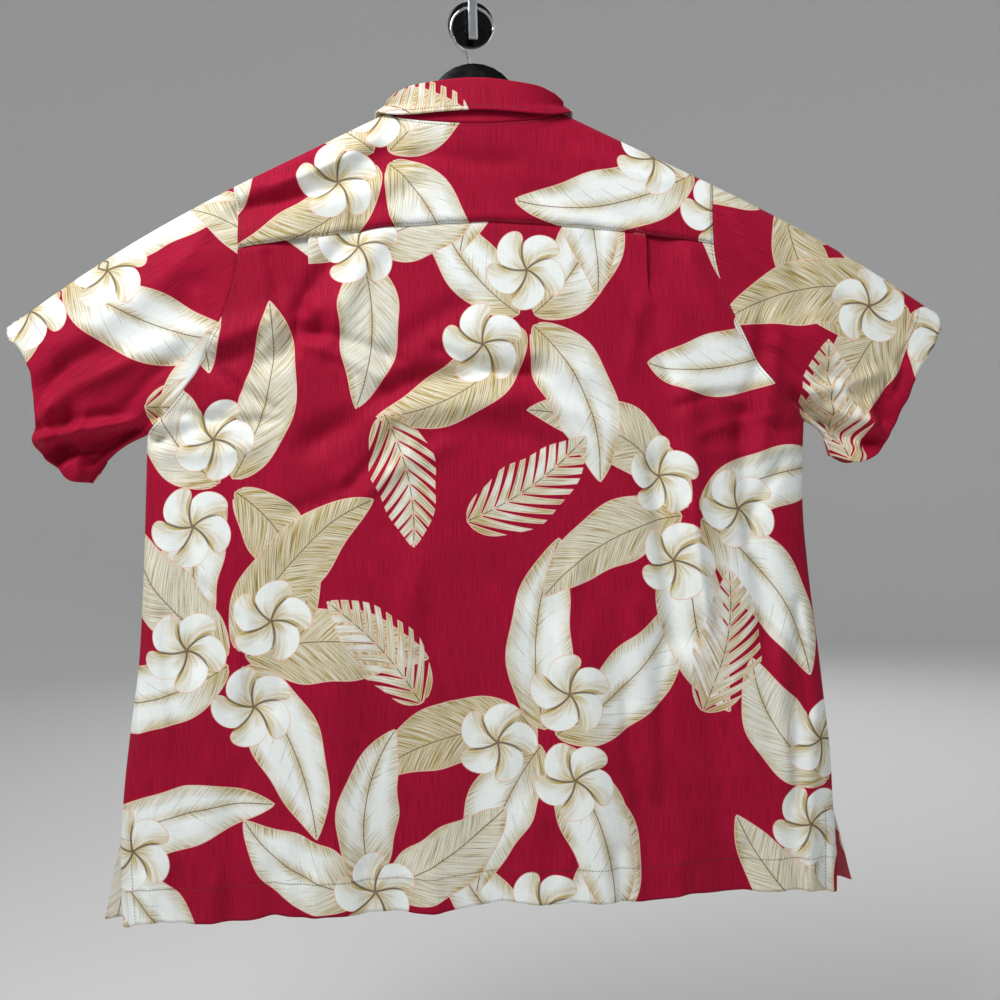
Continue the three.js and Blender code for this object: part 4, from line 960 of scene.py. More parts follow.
def chrome_plate(colours):
    """Chrome plate on steel: mirror bright, with wipe marks and a few dull specks."""
    material, tree = new_material("bright chrome plate")
    place = put(tree, COORDINATES)
    wipe = put(tree, NOISE, named={
        "Vector": place.outputs["Object"], "Scale": 1 / (7 * MM), "Detail": 4.0, "Distortion": 0.8,
    })
    rough = put(tree, RANGE, wipe.outputs[0], 0.35, 0.75, 0.05, 0.2)
    return surfaced(material, {
        "Base Color": colours.chrome, "Metallic": 1.0, "Roughness": rough,
    })


def enamelled(colours):
    """Stove enamel on die-cast zinc: deep glossy black with a clear skin and faint orange peel."""
    material, tree = new_material("gloss black stove enamel")
    place = put(tree, COORDINATES)
    # orange peel about 2 mm from crest to crest
    peel = put(tree, NOISE, named={"Vector": place.outputs["Object"], "Scale": 1 / (2 * MM)})
    dust = put(tree, NOISE, named={
        "Vector": place.outputs["Object"], "Scale": 1 / (9 * MM), "Detail": 4.0,
    })
    bump = put(tree, BUMP,
               named={"Strength": 0.08, "Distance": 0.3 * MM, "Height": peel.outputs[0]})
    rough = put(tree, RANGE, dust.outputs[0], 0.3, 0.7, 0.07, 0.2)
    return surfaced(material, {
        "Base Color": colours.enamel, "Roughness": rough, "Normal": bump,
        "Coat Weight": 0.15, "Specular IOR Level": 0.15,
    })


def matt_paint(colours):
    """Matt emulsion on a studio cove: pale, even and without gloss."""
    material, _ = new_material("matt studio paint")
    return surfaced(material, {"Base Color": colours.studio, "Roughness": 0.95})


MAKERS = {
    "rayon": printed_rayon, "thread": spun_thread, "resin": cast_resin,
    "plastic": moulded_black, "chrome": chrome_plate, "enamel": enamelled, "paint": matt_paint,
}
made_materials = {}


def material_for(name):
    """The material of that name, made when it is first asked for."""
    if name not in made_materials:
        made_materials[name] = MAKERS[name](bpy.context.scene.shirt_colours)
    return made_materials[name]


# Cut pieces
def stitch_nearness(*distances):
    """Signed distance to the nearest of several stitch lines."""
    stack = np.stack(np.broadcast_arrays(*distances))
    return np.take_along_axis(stack, np.abs(stack).argmin(0)[None], 0)[0]


def hem_wave(x, z, inset):
    """The hems hang a little unevenly, and their corners sag."""
    wave = 1.9 * np.sin(x / 33 + 0.6) + 1.3 * np.sin(x / 16.5 + 2) + 0.7 * np.sin(x / 9.3)
    corner = np.exp(-((inset / 13) ** 2))
    return (wave - 5.5 * corner) * smooth((-805 - z) / 85) ** 2


def pleated(flat, folding):
    """x and depth of flat places across a pleat whose edge is at 0, folded by a share."""
    fine = np.linspace(-8, 44, 521)
    step = fine[1] - fine[0]
    most = math.pi * smooth(folding / 0.45)
    turn = math.pi * PLEAT["turn"]
    under = turn + 1 + (PLEAT["depth"] - turn - 1) * folding
    ramp = clamp01(fine / turn + 0.5) - clamp01((fine - under) / turn + 0.5)
    angle = most * ramp
    x = fine[0] + np.concatenate([[0], np.cumsum(np.cos(angle[:-1])) * step])
    deep = np.concatenate([[0], np.cumsum(np.sin(angle[:-1])) * step])
    want = 4 * PLEAT["turn"] * smooth(folding / 0.5)
    deep = deep * want / max(deep[-1], 1e-6) if want > 0 else deep * 0
    lost = fine[-1] - x[-1]
    beyond = np.maximum(flat - fine[-1], 0)
    return (
        np.interp(flat, fine, x) + beyond + np.minimum(flat - fine[0], 0),
        np.interp(flat, fine, deep),
        lost,
    )


def body_rows(side, start, top_z, tucks):
    """Rows of a body panel: edge x and z, z in the middle, lift above the seam, and kind."""
    rows = []
    for tuck in tucks:
        x, z = armhole_place((start - tuck) / armhole_length, -1.2)
        rows.append((x, z, top_z, tuck, "seam"))
    count = math.ceil((armhole_length - start) / SPACING)
    for share in np.linspace(start / armhole_length, 1, count + 1):
        level = (share - start / armhole_length) / (1 - start / armhole_length)
        x, z = armhole_place(share, -SEAM_HALF_GAP)
        kind = "seam" if level == 0 else "armhole"
        rows.append((x, z, lerp(top_z, UNDERARM[1], level**0.9), 0.0, kind))
    below = math.ceil((UNDERARM[1] - HEM_Z) / SPACING)
    for z in np.linspace(UNDERARM[1], HEM_Z, below)[1:]:
        rows.append((side_seam_x(side, z), z, z, 0.0, "side" if z >= VENT_TOP_Z else "vent"))
    return rows


def back_half(side):
    """x, z, inward, flat x and seam distance of half the back, from the middle to one side."""
    rows = body_rows(side, YOKE_SIDE, YOKE_SEAM["middle"], (6.5, 3.2))
    middle = np.linspace(0, 1, 43)
    pleat = np.concatenate([
        np.linspace(-6, -2, 3), np.linspace(-1.75, 1.75, 9), np.linspace(3.5, 10.5, 4),
        np.linspace(12.25, 15.75, 9), np.linspace(17.5, 24, 4),
    ])
    full = pleated(np.array([0.0]), 1.0)[2]
    grids = []
    for edge_x, edge_z, middle_z, lift, kind in rows:
        folding = 1 - smooth((YOKE_SEAM["middle"] - middle_z) / PLEAT["length"])
        lost = pleated(np.array([0.0]), folding)[2]
        total = edge_x + lost
        outer_from = PLEAT["x"] + 24
        outer = to_rounded_edge(total - outer_from, 56.0 if total > 262 else 30.0, SPACING + 0.4)
        outer = np.interp(np.linspace(0, 1, 52), np.linspace(0, 1, len(outer)), outer)
        packed = np.concatenate([
            middle * (PLEAT["x"] - 8), PLEAT["x"] + pleat, outer_from + outer[1:],
        ])
        spread_at = to_rounded_edge(total, 56.0, SPACING + 0.4)
        spread = np.interp(
            np.linspace(0, 1, len(packed)), np.linspace(0, 1, len(spread_at)), spread_at
        )
        spreading = smooth((YOKE_SEAM["middle"] - middle_z - PLEAT["length"]) / 300)
        flat = lerp(packed, spread, spreading)
        x, deep, _ = pleated(flat - PLEAT["x"], folding)
        x = x + PLEAT["x"]
        slack = full * (1 - smooth((YOKE_SEAM["middle"] - middle_z) / 460)) - lost
        printed = flat + max(slack, 0) * smooth((flat - 146) / 48)
        ease = clamp01(1 - (x - PLEAT["x"]) / PLEAT["settle"])
        over = flat > PLEAT["x"] + 20
        deep = np.where(over, deep * smooth(ease * 1.35), deep) * clamp01((edge_x - x) / 8)
        along = clamp01(x / edge_x) ** YOKE_SEAM["power"]
        if kind == "seam":
            z = yoke_seam_z(np.minimum(x, armhole(YOKE_SIDE / armhole_length)[0]))
            z = z + lift - SEAM_HALF_GAP
        else:
            z = lerp(middle_z, edge_z, along)
        z[-1] = edge_z
        grids.append((x, z, deep, printed, edge_x - x, kind in ("side", "armhole")))
    x, z, deep, flat, inset, closed = (np.array(column) for column in zip(*grids))
    return side * x, z, deep, side * flat, inset, closed


def back_sheet():
    """The back: both halves, sunk under the yoke, with doubled hems."""
    sheet = Sheet()
    halves = []
    for side in SIDES:
        x, z, deep, flat, inset, closed = back_half(side)
        if side < 0:
            x, z, deep, flat, inset = (a[:, ::-1] for a in (x, z, deep, flat, inset))
        keep = slice(0, -1) if side < 0 else slice(0, None)
        level = np.zeros(x.shape)
        level[:, 0 if side < 0 else -1] = closed * (z[:, 0 if side < 0 else -1] < -418)
        halves.append([a[:, keep] for a in (x, z, deep, flat, inset, level)])
    x, z, deep, flat, inset, level = (np.concatenate(pair, 1) for pair in zip(*halves))
    z = z + hem_wave(x, z, inset)
    points = on_layer(BACK, x, z)
    points[..., 1] += deep
    above = z - (yoke_seam_z(np.clip(x, -238, 238)) - 4)
    sink = np.where(z > -252, 1.4 * smooth(above / 4.5), 0.0)
    vent = z < VENT_TOP_Z
    seam = stitch_nearness(z - (HEM_Z + HEM_DEPTH), np.where(vent, inset - VENT_HEM, 99.0))
    thick = 1 + smooth((HEM_Z + HEM_DEPTH + 2 - z) / 4)
    thick = thick + vent * smooth((VENT_HEM + 2 - inset) / 3)
    sheet.grid(points, np.stack([flat, z], -1), seam, sink, np.minimum(thick, 2), level)
    return sheet


def front_sheet(side):
    """One front, from the facing at the lap to the side seam."""
    sheet = Sheet()
    top_middle = NECK["z"] - NECK["front_drop"]
    rows = body_rows(side, YOKE_FORWARD, top_middle, (5.0,))
    spread = to_rounded_edge(350.0, 24.0, 4.6) / 350.0
    grids = []
    for edge_x, edge_z, middle_z, lift, kind in rows:
        flare = FLARE * float(vent_share(edge_z))
        level = float(clamp01((top_middle - middle_z) / (top_middle - HEM_Z)))
        x = lerp(-FRONT_OVERLAP, edge_x + flare, spread)
        top = front_top_z(np.maximum(x, 0)) - SEAM_HALF_GAP
        straight = lerp(middle_z, edge_z, clamp01(x / edge_x) ** YOKE_SEAM["power"])
        if kind == "seam":
            # only the part under the yoke runs on above the seam
            z = top + lift * smooth((x - front_neck(YOKE_NECK_SHARE)[0]) / 12)
        else:
            z = lerp(lerp(top, HEM_Z, level), straight, smooth(level / 0.35))
        z[-1] = edge_z
        level_end = np.zeros(x.shape)
        level_end[-1] = kind in ("side",) or edge_z == UNDERARM[1]
        inset = edge_x + flare - x
        grids.append((x, z, inset, level_end))
    x, z, inset, level = (np.array(column) for column in zip(*grids))
    z = z + hem_wave(side * x + 60, z, inset)
    points = on_layer(FRONT, side * x, z, lap_height(x) if side < 0 else 0.0)
    seam_at = front_top_z(np.maximum(x, 0))
    sink = np.where(x > 80, 1.2 * smooth((z - seam_at + 4) / 4.5), 0.0)
    vent = z < VENT_TOP_Z
    seam = stitch_nearness(z - (HEM_Z + HEM_DEPTH), np.where(vent, inset - VENT_HEM, 99.0))
    thick = 1 + smooth((HEM_Z + HEM_DEPTH + 2 - z) / 4) + smooth((36 - (x + FRONT_OVERLAP)) / 4)
    flat = np.stack([side * x, z], -1)
    sheet.grid(points, flat, seam, sink, np.minimum(thick, 2), level, flip=side > 0)
    return sheet


def yoke_sheet():
    """The yoke: back part and the parts that come forward on each side."""
    sheet = Sheet()
    edge0 = armhole_place(0.0, -SEAM_HALF_GAP)
    neck = NECK["x"] * np.sin(np.linspace(0, math.pi / 2, 31))
    out = np.linspace(0, 1, 50)[1:]
    steps = YOKE_SIDE - to_rounded_edge(YOKE_SIDE, 60.0, 3.2, tail=4)[::-1]
    for side in SIDES:
        rows = []
        for step in steps:
            share = step / YOKE_SIDE
            ex, ez = armhole_place(step / armhole_length, -SEAM_HALF_GAP)
            x = np.concatenate([neck, NECK["x"] + out * (ex - NECK["x"])])
            ridge = x >= NECK["x"]
            top = np.where(ridge, shoulder_z(x), back_neck_z(x))
            seam_z = yoke_seam_z(np.minimum(x, armhole(YOKE_SIDE / armhole_length)[0]))
            down = lerp(step, share * (top - seam_z), smooth(share))
            z = top - down
            near = clamp01((x - 200) / (ex - 200))
            z = z + (ez - z[-1]) * near**4 + seam_wander(side * x) * smooth(share) * (1 - near)
            rows.append((x, z))
        x, z = (np.array(column) for column in zip(*rows))
        points = on_layer(BACK, side * x, z)
        ridge = x[0] >= NECK["x"]
        points[0, ridge, 1] = HANGER_Y
        flat = np.stack([side * x, z], -1)
        seam_at = yoke_seam_z(np.minimum(x, 238))
        armhole_at = (np.array([r[-1] for r in x])[:, None] - x) - 2.6
        neck_at = np.where(x < NECK["x"], back_neck_z(x) - z - 2.2, 99.0)
        near = stitch_nearness(z - seam_at - 1.6, armhole_at, neck_at)
        thick = 1 + 0.8 * smooth((seam_at + 7 - z) / 3)
        sheet.grid(points, flat, near, 0.0, thick, flip=side < 0)
        # the part that comes forward over the shoulder
        columns = np.concatenate([[NECK["x"]], NECK["x"] + out * (edge0[0] - NECK["x"])])
        rows = []
        forward = YOKE_FORWARD - to_rounded_edge(YOKE_FORWARD, 24.0, 2.8, tail=4)[::-1]
        for step in forward:
            share = step / YOKE_FORWARD
            ex, ez = armhole_place(step / armhole_length, -SEAM_HALF_GAP)
            nx, nz = front_neck(YOKE_NECK_SHARE * share)
            near = 1 - clamp01((columns - NECK["x"]) / 60)
            fx = columns - (NECK["x"] - nx) * near
            fx = fx + (ex - fx[-1]) * clamp01((columns - 200) / (edge0[0] - 200)) ** 2
            drop = shoulder_z(columns) - front_seam_z(fx)
            fz = shoulder_z(columns) - lerp(step, share * drop, smooth(share))
            fz = fz + (ez - fz[-1]) * clamp01((columns - 200) / (edge0[0] - 200)) ** 4
            fz[0] = nz
            rows.append((fx, fz))
        fx, fz = (np.array(column) for column in zip(*rows))
        fx[0], fz[0] = x[0, ridge], z[0, ridge]
        points = on_layer(FRONT, side * fx, fz)
        points[0, :, 1] = HANGER_Y
        flat = np.stack([side * fx, 2 * shoulder_z(fx) - fz], -1)
        near = stitch_nearness(fz - front_seam_z(fx) - 1.6, fx[:, -1:] - fx - 2.6)
        sheet.grid(points, flat, near, 0.0, 1.0, flip=side > 0)
    return sheet


def sleeve_sheet(side):
    """One sleeve: a ring round the armhole, drawn out to the cuff."""
    sheet = Sheet()
    back = to_rounded_edge(0.5 * armhole_length, 56.0, 3.4, tail=3) / armhole_length
    front = to_rounded_edge(0.5 * armhole_length, 24.0, 4.2, tail=3) / armhole_length
    back_shares = np.concatenate([0.5 + back, (0.5 - back[1:])])
    ring_back = np.sort(np.unique(np.round(back_shares, 9)))[::-1]
    front_shares = np.concatenate([0.5 + front, (0.5 - front[1:])])
    ring_front = np.sort(np.unique(np.round(front_shares, 9)))[1:]
    along = np.concatenate([[0.0, 1.2, 2.6], np.linspace(4.4, SLEEVE_LENGTH, 64)]) / SLEEVE_LENGTH
    shares = np.concatenate([ring_back, ring_front])
    is_front = np.concatenate([np.zeros(len(ring_back), bool), np.ones(len(ring_front), bool)])
    rows = []
    for tuck in (-4.0, -1.6):
        x, z = armhole_place(shares, tuck)
        rows.append((side * x, z, np.full(x.shape, tuck)))
    for share_along in along:
        x, z = sleeve_point(side, shares, share_along)
        if share_along == 0:
            x, z = armhole_place(shares, SEAM_HALF_GAP)
            x = side * x
        ruffle = cuff_wave(shares) * smooth((share_along * SLEEVE_LENGTH - 130) / 85)
        x = x + side * 0.86 * ruffle
        z = z - 0.5 * ruffle
        rows.append((x, z, np.full(x.shape, share_along * SLEEVE_LENGTH)))
    x, z, out = (np.array(column) for column in zip(*rows))
    y = np.where(is_front, surface_y(x, z, FRONT), surface_y(x, z, BACK))
    y[:, np.argmin(shares)] = HANGER_Y
    points = np.stack([x, y, z], -1)
    # the cloth's own grain runs down the sleeve from its top edge
    (tx, tz), (cx, cz) = sleeve_point(side, 0.0, 0.0), sleeve_point(side, 0.0, 1.0)
    run = np.array([cx - tx, cz - tz]) / math.hypot(cx - tx, cz - tz)
    down = (x - tx) * run[0] + (z - tz) * run[1]
    beside = np.abs((x - tx) * run[1] - (z - tz) * run[0])
    flat = np.stack([np.where(is_front, -beside, beside), -down], -1)
    from_cuff = length_to_cuff(side, shares, out)
    seam = from_cuff - CUFF_HEM
    thick = 1 + smooth((CUFF_HEM + 2 - from_cuff) / 4)
    sink = np.where(out < 3, 1.1 * smooth((3 - out) / 4.5), 0.0)
    level = np.zeros(x.shape)
    level[:, [0, -1]] = 1.0
    sheet.grid(points, flat, seam, sink, thick, level, flip=side < 0)
    return sheet


def cuff_wave(shares):
    """The cuffs hang a little unevenly, more so at the low end where they gather."""
    low = 0.5 + 1.2 * smooth((shares - 0.55) / 0.35)
    return low * (0.8 * np.sin(shares * 34 + 0.8) + 0.6 * np.sin(shares * 61))


def length_to_cuff(side, shares, out):
    """Distance to the cuff's edge along each of the sleeve's lines."""
    inner, outer = sleeve_point(side, shares, 0.0), sleeve_point(side, shares, 1.0)
    real = np.hypot(outer[0] - inner[0], outer[1] - inner[1])
    return (1 - clamp01(out / SLEEVE_LENGTH)) * real[None, :]


def smooth_column(name, angle):
    """A collar column read at angles, on a smooth curve through its rows."""
    values = np.array(COLLAR[name], float)
    place = np.clip((angle - COLLAR_ANGLES[0]) / 45.0, 0, len(values) - 1 - 1e-9)
    i = np.floor(place).astype(int)
    t = place - i
    # level at the middle of the back, where the other half mirrors this one
    a, b, c, d = (values[np.minimum(np.abs(i + k), len(values) - 1)] for k in (-1, 0, 1, 2))
    curve = (c - a) * t + (2 * a - 5 * b + 4 * c - d) * t * t
    return 0.5 * (2 * b + curve + (3 * b - a - 3 * c + d) * t**3)


def collar_half(angle):
    """Outer points of the collar's sections at angles round one side of the neck."""
    angle = np.asarray(angle, float)[:, None]
    columns = ("stand", "stand_in", "leaf", "leaf_out")
    stand, stand_in, leaf, leaf_out = (smooth_column(name, angle) for name in columns)
    turn = np.radians(angle)
    front = angle > 0
    drop = np.where(front, NECK["front_drop"], NECK["back_drop"])
    seam_x, seam_z = NECK["x"] * np.cos(turn), NECK["z"] - drop * np.abs(np.sin(turn))
    to_surface = smooth(angle / 30)
    level_x, level_y = np.where(front, 1, np.cos(turn)), np.where(front, 0, np.sin(turn))

    def surface(x, z):
        back, fore = surface_y(x, z, BACK), surface_y(x, z, FRONT)
        return np.where(np.broadcast_to(front, back.shape), fore, back)

    seam_y = np.where(angle == 0, HANGER_Y, surface(seam_x, seam_z))
    rise, fall = np.sqrt(1 - stand_in**2), np.sqrt(1 - leaf_out**2)

    def stand_point(height):
        x, z = seam_x - level_x * stand_in * height, seam_z + rise * height
        flat_y = seam_y - level_y * stand_in * height
        return x, lerp(flat_y, surface(x, z), to_surface), z

    def out_by(point, amount):
        x, y, z = point
        return np.stack([x + np.cos(turn) * amount, y + np.sin(turn) * amount, z], -1)

    low = COLLAR_CLEAR + np.linspace(0, 1, 12)[None, :] * (stand - COLLAR_CLEAR)
    points = [out_by(stand_point(low), np.full(low.shape, -COLLAR_FOLD))]
    top = stand_point(stand)
    round_top = np.radians(np.linspace(18, 162, 9))[None, :]
    level = 0 * round_top
    bent = (top[0] + level, top[1] + level, top[2] + COLLAR_FOLD * np.sin(round_top))
    points.append(out_by(bent, -COLLAR_FOLD * np.cos(round_top)))
    share = np.linspace(0.03, 1, 17)[None, :]
    x, z = top[0] + level_x * leaf_out * leaf * share, top[2] - fall * leaf * share
    flat_y = top[1] + level_y * leaf_out * leaf * share
    sign = np.where(front, 1, -1)
    on_shirt = surface(x, z) + sign * lap_height(np.where(front, x, 99.0))
    over_shirt = ~((x > NECK["x"]) & (z > shoulder_z(x)))
    clear = on_shirt + sign * (COLLAR_CLEAR + COLLAR_PLY / 2) * over_shirt
    laid = np.where(
        front, np.maximum(lerp(flat_y, clear, to_surface), clear), np.minimum(flat_y, clear)
    )
    y = np.where(over_shirt, laid, flat_y)
    points.append(out_by((x, y, z), lerp(COLLAR_FOLD, COLLAR_PLY / 2, share)))
    return np.concatenate(points, 1)


def collar_sheet():
    """The collar, round the neck from one point to the other."""
    sheet = Sheet()
    angles = np.concatenate([np.linspace(-90, -12, 44), np.linspace(-10, 14, 25),
                             np.linspace(16, COLLAR_END, 40)])
    half = collar_half(angles)
    left = half[1:][::-1].copy()
    left[..., 0] *= -1
    points = np.concatenate([left, half])
    across = np.linalg.norm(np.diff(points, axis=1), axis=2)
    across = np.concatenate([np.zeros((len(points), 1)), np.cumsum(across, 1)], 1)
    middle = points[:, 15]
    around = np.concatenate([[0], np.cumsum(np.linalg.norm(np.diff(middle, axis=0), axis=1))])
    around = np.broadcast_to(around[:, None], across.shape)
    edge = across[:, -1:] - across
    ends = np.minimum(around, around[-1] - around)
    seam = stitch_nearness(edge - 4.5, np.where(across > 20, ends - 4.5, 99.0))
    sheet.grid(points, np.stack([around, -across], -1), seam, flip=True)
    return sheet


# Sewing: each seam is drawn as lines along the cloth, and stitches are strung along them
def lines_on(layer, x, z, out=0.25):
    """A stitching line just off a layer's face."""
    return on_layer(layer, np.asarray(x, float), np.asarray(z, float), out)


def back_stitching():
    """The back's hem, both vents and their tacks."""
    x = np.linspace(-364, 350, 400)
    z = HEM_Z + HEM_DEPTH + 0 * x
    edge = np.where(x < 0, side_seam_x(-1, z), side_seam_x(1, z)) - np.abs(x)
    lines = [lines_on(BACK, x, z + hem_wave(x, z, edge))]
    for side in SIDES:
        z = np.linspace(VENT_TOP_Z - 2, HEM_Z + 3, 40)
        x = side_seam_x(side, z) - VENT_HEM
        lines.append(lines_on(BACK, side * x, z + hem_wave(side * x, z, VENT_HEM)))
        tack = np.linspace(-VENT_HEM, -1, 6)
        high = np.full(6, VENT_TOP_Z - 1.0)
        lines.append(lines_on(BACK, side * (side_seam_x(side, high) + tack), high))
    return lines


def armhole_stitching(side):
    """Topstitching beside one armhole, on both layers."""
    share = np.linspace(0.02, 0.985, 160)
    x, z = armhole_place(share, -2.6)
    return [lines_on(BACK, side * x, z), lines_on(FRONT, side * x, z)]


def yoke_stitching():
    """The yoke's seam, its neck edge and both front seams."""
    x = np.linspace(-234, 234, 300)
    lines = [lines_on(BACK, x, yoke_seam_z(x) + seam_wander(x) + 1.8)]
    neck = NECK["x"] * np.sin(np.linspace(-1.3, 1.3, 90))
    lines.append(lines_on(BACK, neck, back_neck_z(neck) - 2.2))
    for side in SIDES:
        x = np.linspace(front_neck(YOKE_NECK_SHARE)[0] + 2, 234, 90)
        lines.append(lines_on(FRONT, side * x, front_seam_z(x) + 1.6))
    return lines


def front_stitching(side):
    """One front's hem and vent."""
    x = np.linspace(-16, side_seam_x(side, HEM_Z + HEM_DEPTH) + 6, 200)
    z = HEM_Z + HEM_DEPTH + 0 * x
    lap = lap_height(x) if side < 0 else 0.0
    inset = side_seam_x(side, z) + FLARE * vent_share(z) - x
    wave = hem_wave(side * x + 60, z, inset)
    lines = [lines_on(FRONT, side * x, z + wave, lap + 0.25)]
    z = np.linspace(VENT_TOP_Z - 2, HEM_Z + 3, 40)
    x = side_seam_x(side, z) + FLARE * vent_share(z) - VENT_HEM
    wave = hem_wave(side * x + 60, z, VENT_HEM)
    lines.append(lines_on(FRONT, side * x, z + wave))
    return lines


def sleeve_stitching(side):
    """One cuff's hem, on both layers."""
    lines = []
    for layer in (BACK, FRONT):
        shares = np.linspace(0, 1, 120)
        inner, outer = sleeve_point(side, shares, 0.0), sleeve_point(side, shares, 1.0)
        real = np.hypot(outer[0] - inner[0], outer[1] - inner[1])
        x, z = sleeve_point(side, shares, 1 - CUFF_HEM / real)
        x, z = (np.convolve(np.pad(c, 9, "edge"), np.ones(19) / 19, "valid") for c in (x, z))
        lines.append(lines_on(layer, x, z))
    return lines


def collar_stitching():
    """A line 4.5 mm in from the leaf's edge."""
    angles = np.linspace(-90, COLLAR_END - 3, 120)
    half = collar_half(angles)
    widths = np.linalg.norm(np.diff(half, axis=1), axis=2)
    across = np.concatenate([np.zeros((len(half), 1)), np.cumsum(widths, 1)], 1)
    rows = []
    for section, run in zip(half, across):
        at = run[-1] - 4.5
        point = np.array([np.interp(at, run, section[:, k]) for k in range(3)])
        side_way = np.array([section[-1, 0], section[-1, 1] - HANGER_Y, 0])
        rows.append(point + 0.25 * side_way / np.linalg.norm(side_way))
    right = np.array(rows)
    left = right[::-1].copy()
    left[:, 0] *= -1
    return [np.concatenate([left[:-1], right])]


def line_mesh(name, lines):
    """A mesh of bare edges through rows of points in millimetres."""
    points, edges, count = [], [], 0
    for line in lines:
        points.append(line)
        edges += [(count + i, count + i + 1) for i in range(len(line) - 1)]
        count += len(line)
    mesh = bpy.data.meshes.new(name)
    mesh.from_pydata((np.concatenate(points) * MM).tolist(), edges, [])
    return mesh


def stitch_tree():
    """Geometry nodes that string short rounded stitches along lines."""
    tree = bpy.data.node_groups.new("stitches along lines", "GeometryNodeTree")
    face = tree.interface
    face.new_socket("Geometry", in_out="INPUT", socket_type="NodeSocketGeometry")
    for name, value in (("Pitch", 3.2 * MM), ("Length", 2.3 * MM), ("Radius", 0.3 * MM)):
        socket = face.new_socket(name, in_out="INPUT", socket_type="NodeSocketFloat")
        socket.default_value = value
    face.new_socket("Material", in_out="INPUT", socket_type="NodeSocketMaterial")
    face.new_socket("Geometry", in_out="OUTPUT", socket_type="NodeSocketGeometry")
    entry = put(tree, "NodeGroupInput")
    curve = put(tree, "GeometryNodeMeshToCurve", entry.outputs["Geometry"])
    points = put(tree, "GeometryNodeCurveToPoints",
                 named={"Curve": curve, "Length": entry.outputs["Pitch"]}, mode="LENGTH")
    stitch = put(tree, "GeometryNodeMeshIcoSphere", named={"Radius": 1.0, "Subdivisions": 1})
    half = put(tree, "ShaderNodeMath", entry.outputs["Length"], 0.5, operation="MULTIPLY")
    size = put(tree, "ShaderNodeCombineXYZ", entry.outputs["Radius"], entry.outputs["Radius"], half)
    strung = put(tree, "GeometryNodeInstanceOnPoints", named={
        "Points": points.outputs["Points"], "Instance": stitch.outputs["Mesh"],
        "Rotation": points.outputs["Rotation"], "Scale": size,
    })
    real = put(tree, "GeometryNodeRealizeInstances", strung)
    dyed = put(tree, "GeometryNodeSetMaterial",
               named={"Geometry": real, "Material": entry.outputs["Material"]})
    put(tree, "NodeGroupOutput", dyed)
    return tree


def sew(name, lines, pitch, length, radius):
    """Strings stitches along lines and returns them as one plain piece."""
    tree = bpy.data.node_groups.get("stitches along lines") or stitch_tree()
    thread = material_for("thread")
    guide = bpy.data.objects.new(name + "_guide", line_mesh(name, lines))
    bpy.context.scene.collection.objects.link(guide)
    modifier = guide.modifiers.new("stitches", "NODES")
    modifier.node_group = tree
    sizes = {"Pitch": pitch, "Length": length, "Radius": radius, "Material": thread}
    for item in tree.interface.items_tree:
        if item.in_out == "INPUT" and item.name in sizes:
            modifier[item.identifier] = sizes[item.name]
    guide.update_tag()
    bpy.context.view_layer.update()
    evaluated = guide.evaluated_get(bpy.context.evaluated_depsgraph_get())
    mesh = bpy.data.meshes.new_from_object(evaluated)
    bpy.data.objects.remove(guide)
    if not len(mesh.polygons):
        raise RuntimeError(f"{name}: no stitch was made")
    return finished(name, mesh, thread)


# Hard parts
def welded_copy(node):
    """A merged copy of a solid's mesh, in the row frame."""
    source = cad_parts[node]
    work = bmesh.new()
    work.from_mesh(source.data)
    bmesh.ops.remove_doubles(work, verts=work.verts, dist=1e-6)
    mesh = bpy.data.meshes.new(node)
    work.to_mesh(mesh)
    work.free()
    return mesh


def wire_hook_path():
    """The wire hook's middle line, its section, and how far the section shrinks along it."""
    loop = {"x": -0.5, "z": -15.0, "radius": 21.5, "from": -10.0, "to": 214.0}
    stem = [(-16, -31.5), (-7.5, -39), (-5, -46), (-4.6, -51.05)]
    angles = np.radians(np.linspace(loop["from"], loop["to"], 21))
    around = np.stack([loop["x"] + loop["radius"] * np.cos(angles),
                       loop["z"] + loop["radius"] * np.sin(angles)], -1)
    point, length = curve_through([*map(tuple, around), *stem], 8)
    share = np.linspace(0, 1, 150)
    x, z = point(share)
    path = np.stack([x, np.full(x.shape, HANGER_Y), z], -1)
    turn = np.linspace(0, 2 * math.pi, 21)[:-1]
    # rounded flat: fuller than an ellipse
    across = 1.4 * np.sign(np.cos(turn)) * np.abs(np.cos(turn)) ** 0.8
    deep = 2.3 * np.sign(np.sin(turn)) * np.abs(np.sin(turn)) ** 0.8
    # the free end is rounded over its last 1.4 mm
    run = share * length
    shrink = np.sqrt(np.clip(1 - (1 - np.clip(run / 1.4, 0, 1)) ** 2, 0.02, 1))
    return path, np.stack([across, deep], -1), shrink


def wire_hook():
    """The flattened wire hook, with a rounded free end."""
    path, section, shrink = wire_hook_path()
    ahead = np.gradient(path, axis=0)
    ahead /= np.linalg.norm(ahead, axis=1, keepdims=True)
    depth = np.array([0.0, 1.0, 0.0])
    side = np.cross(ahead, depth)
    rings = (
        path[:, None]
        + side[:, None] * section[None, :, :1] * shrink[:, None, None]
        + depth * section[None, :, 1:] * shrink[:, None, None]
    )
    return tube_mesh("wire hook", rings)


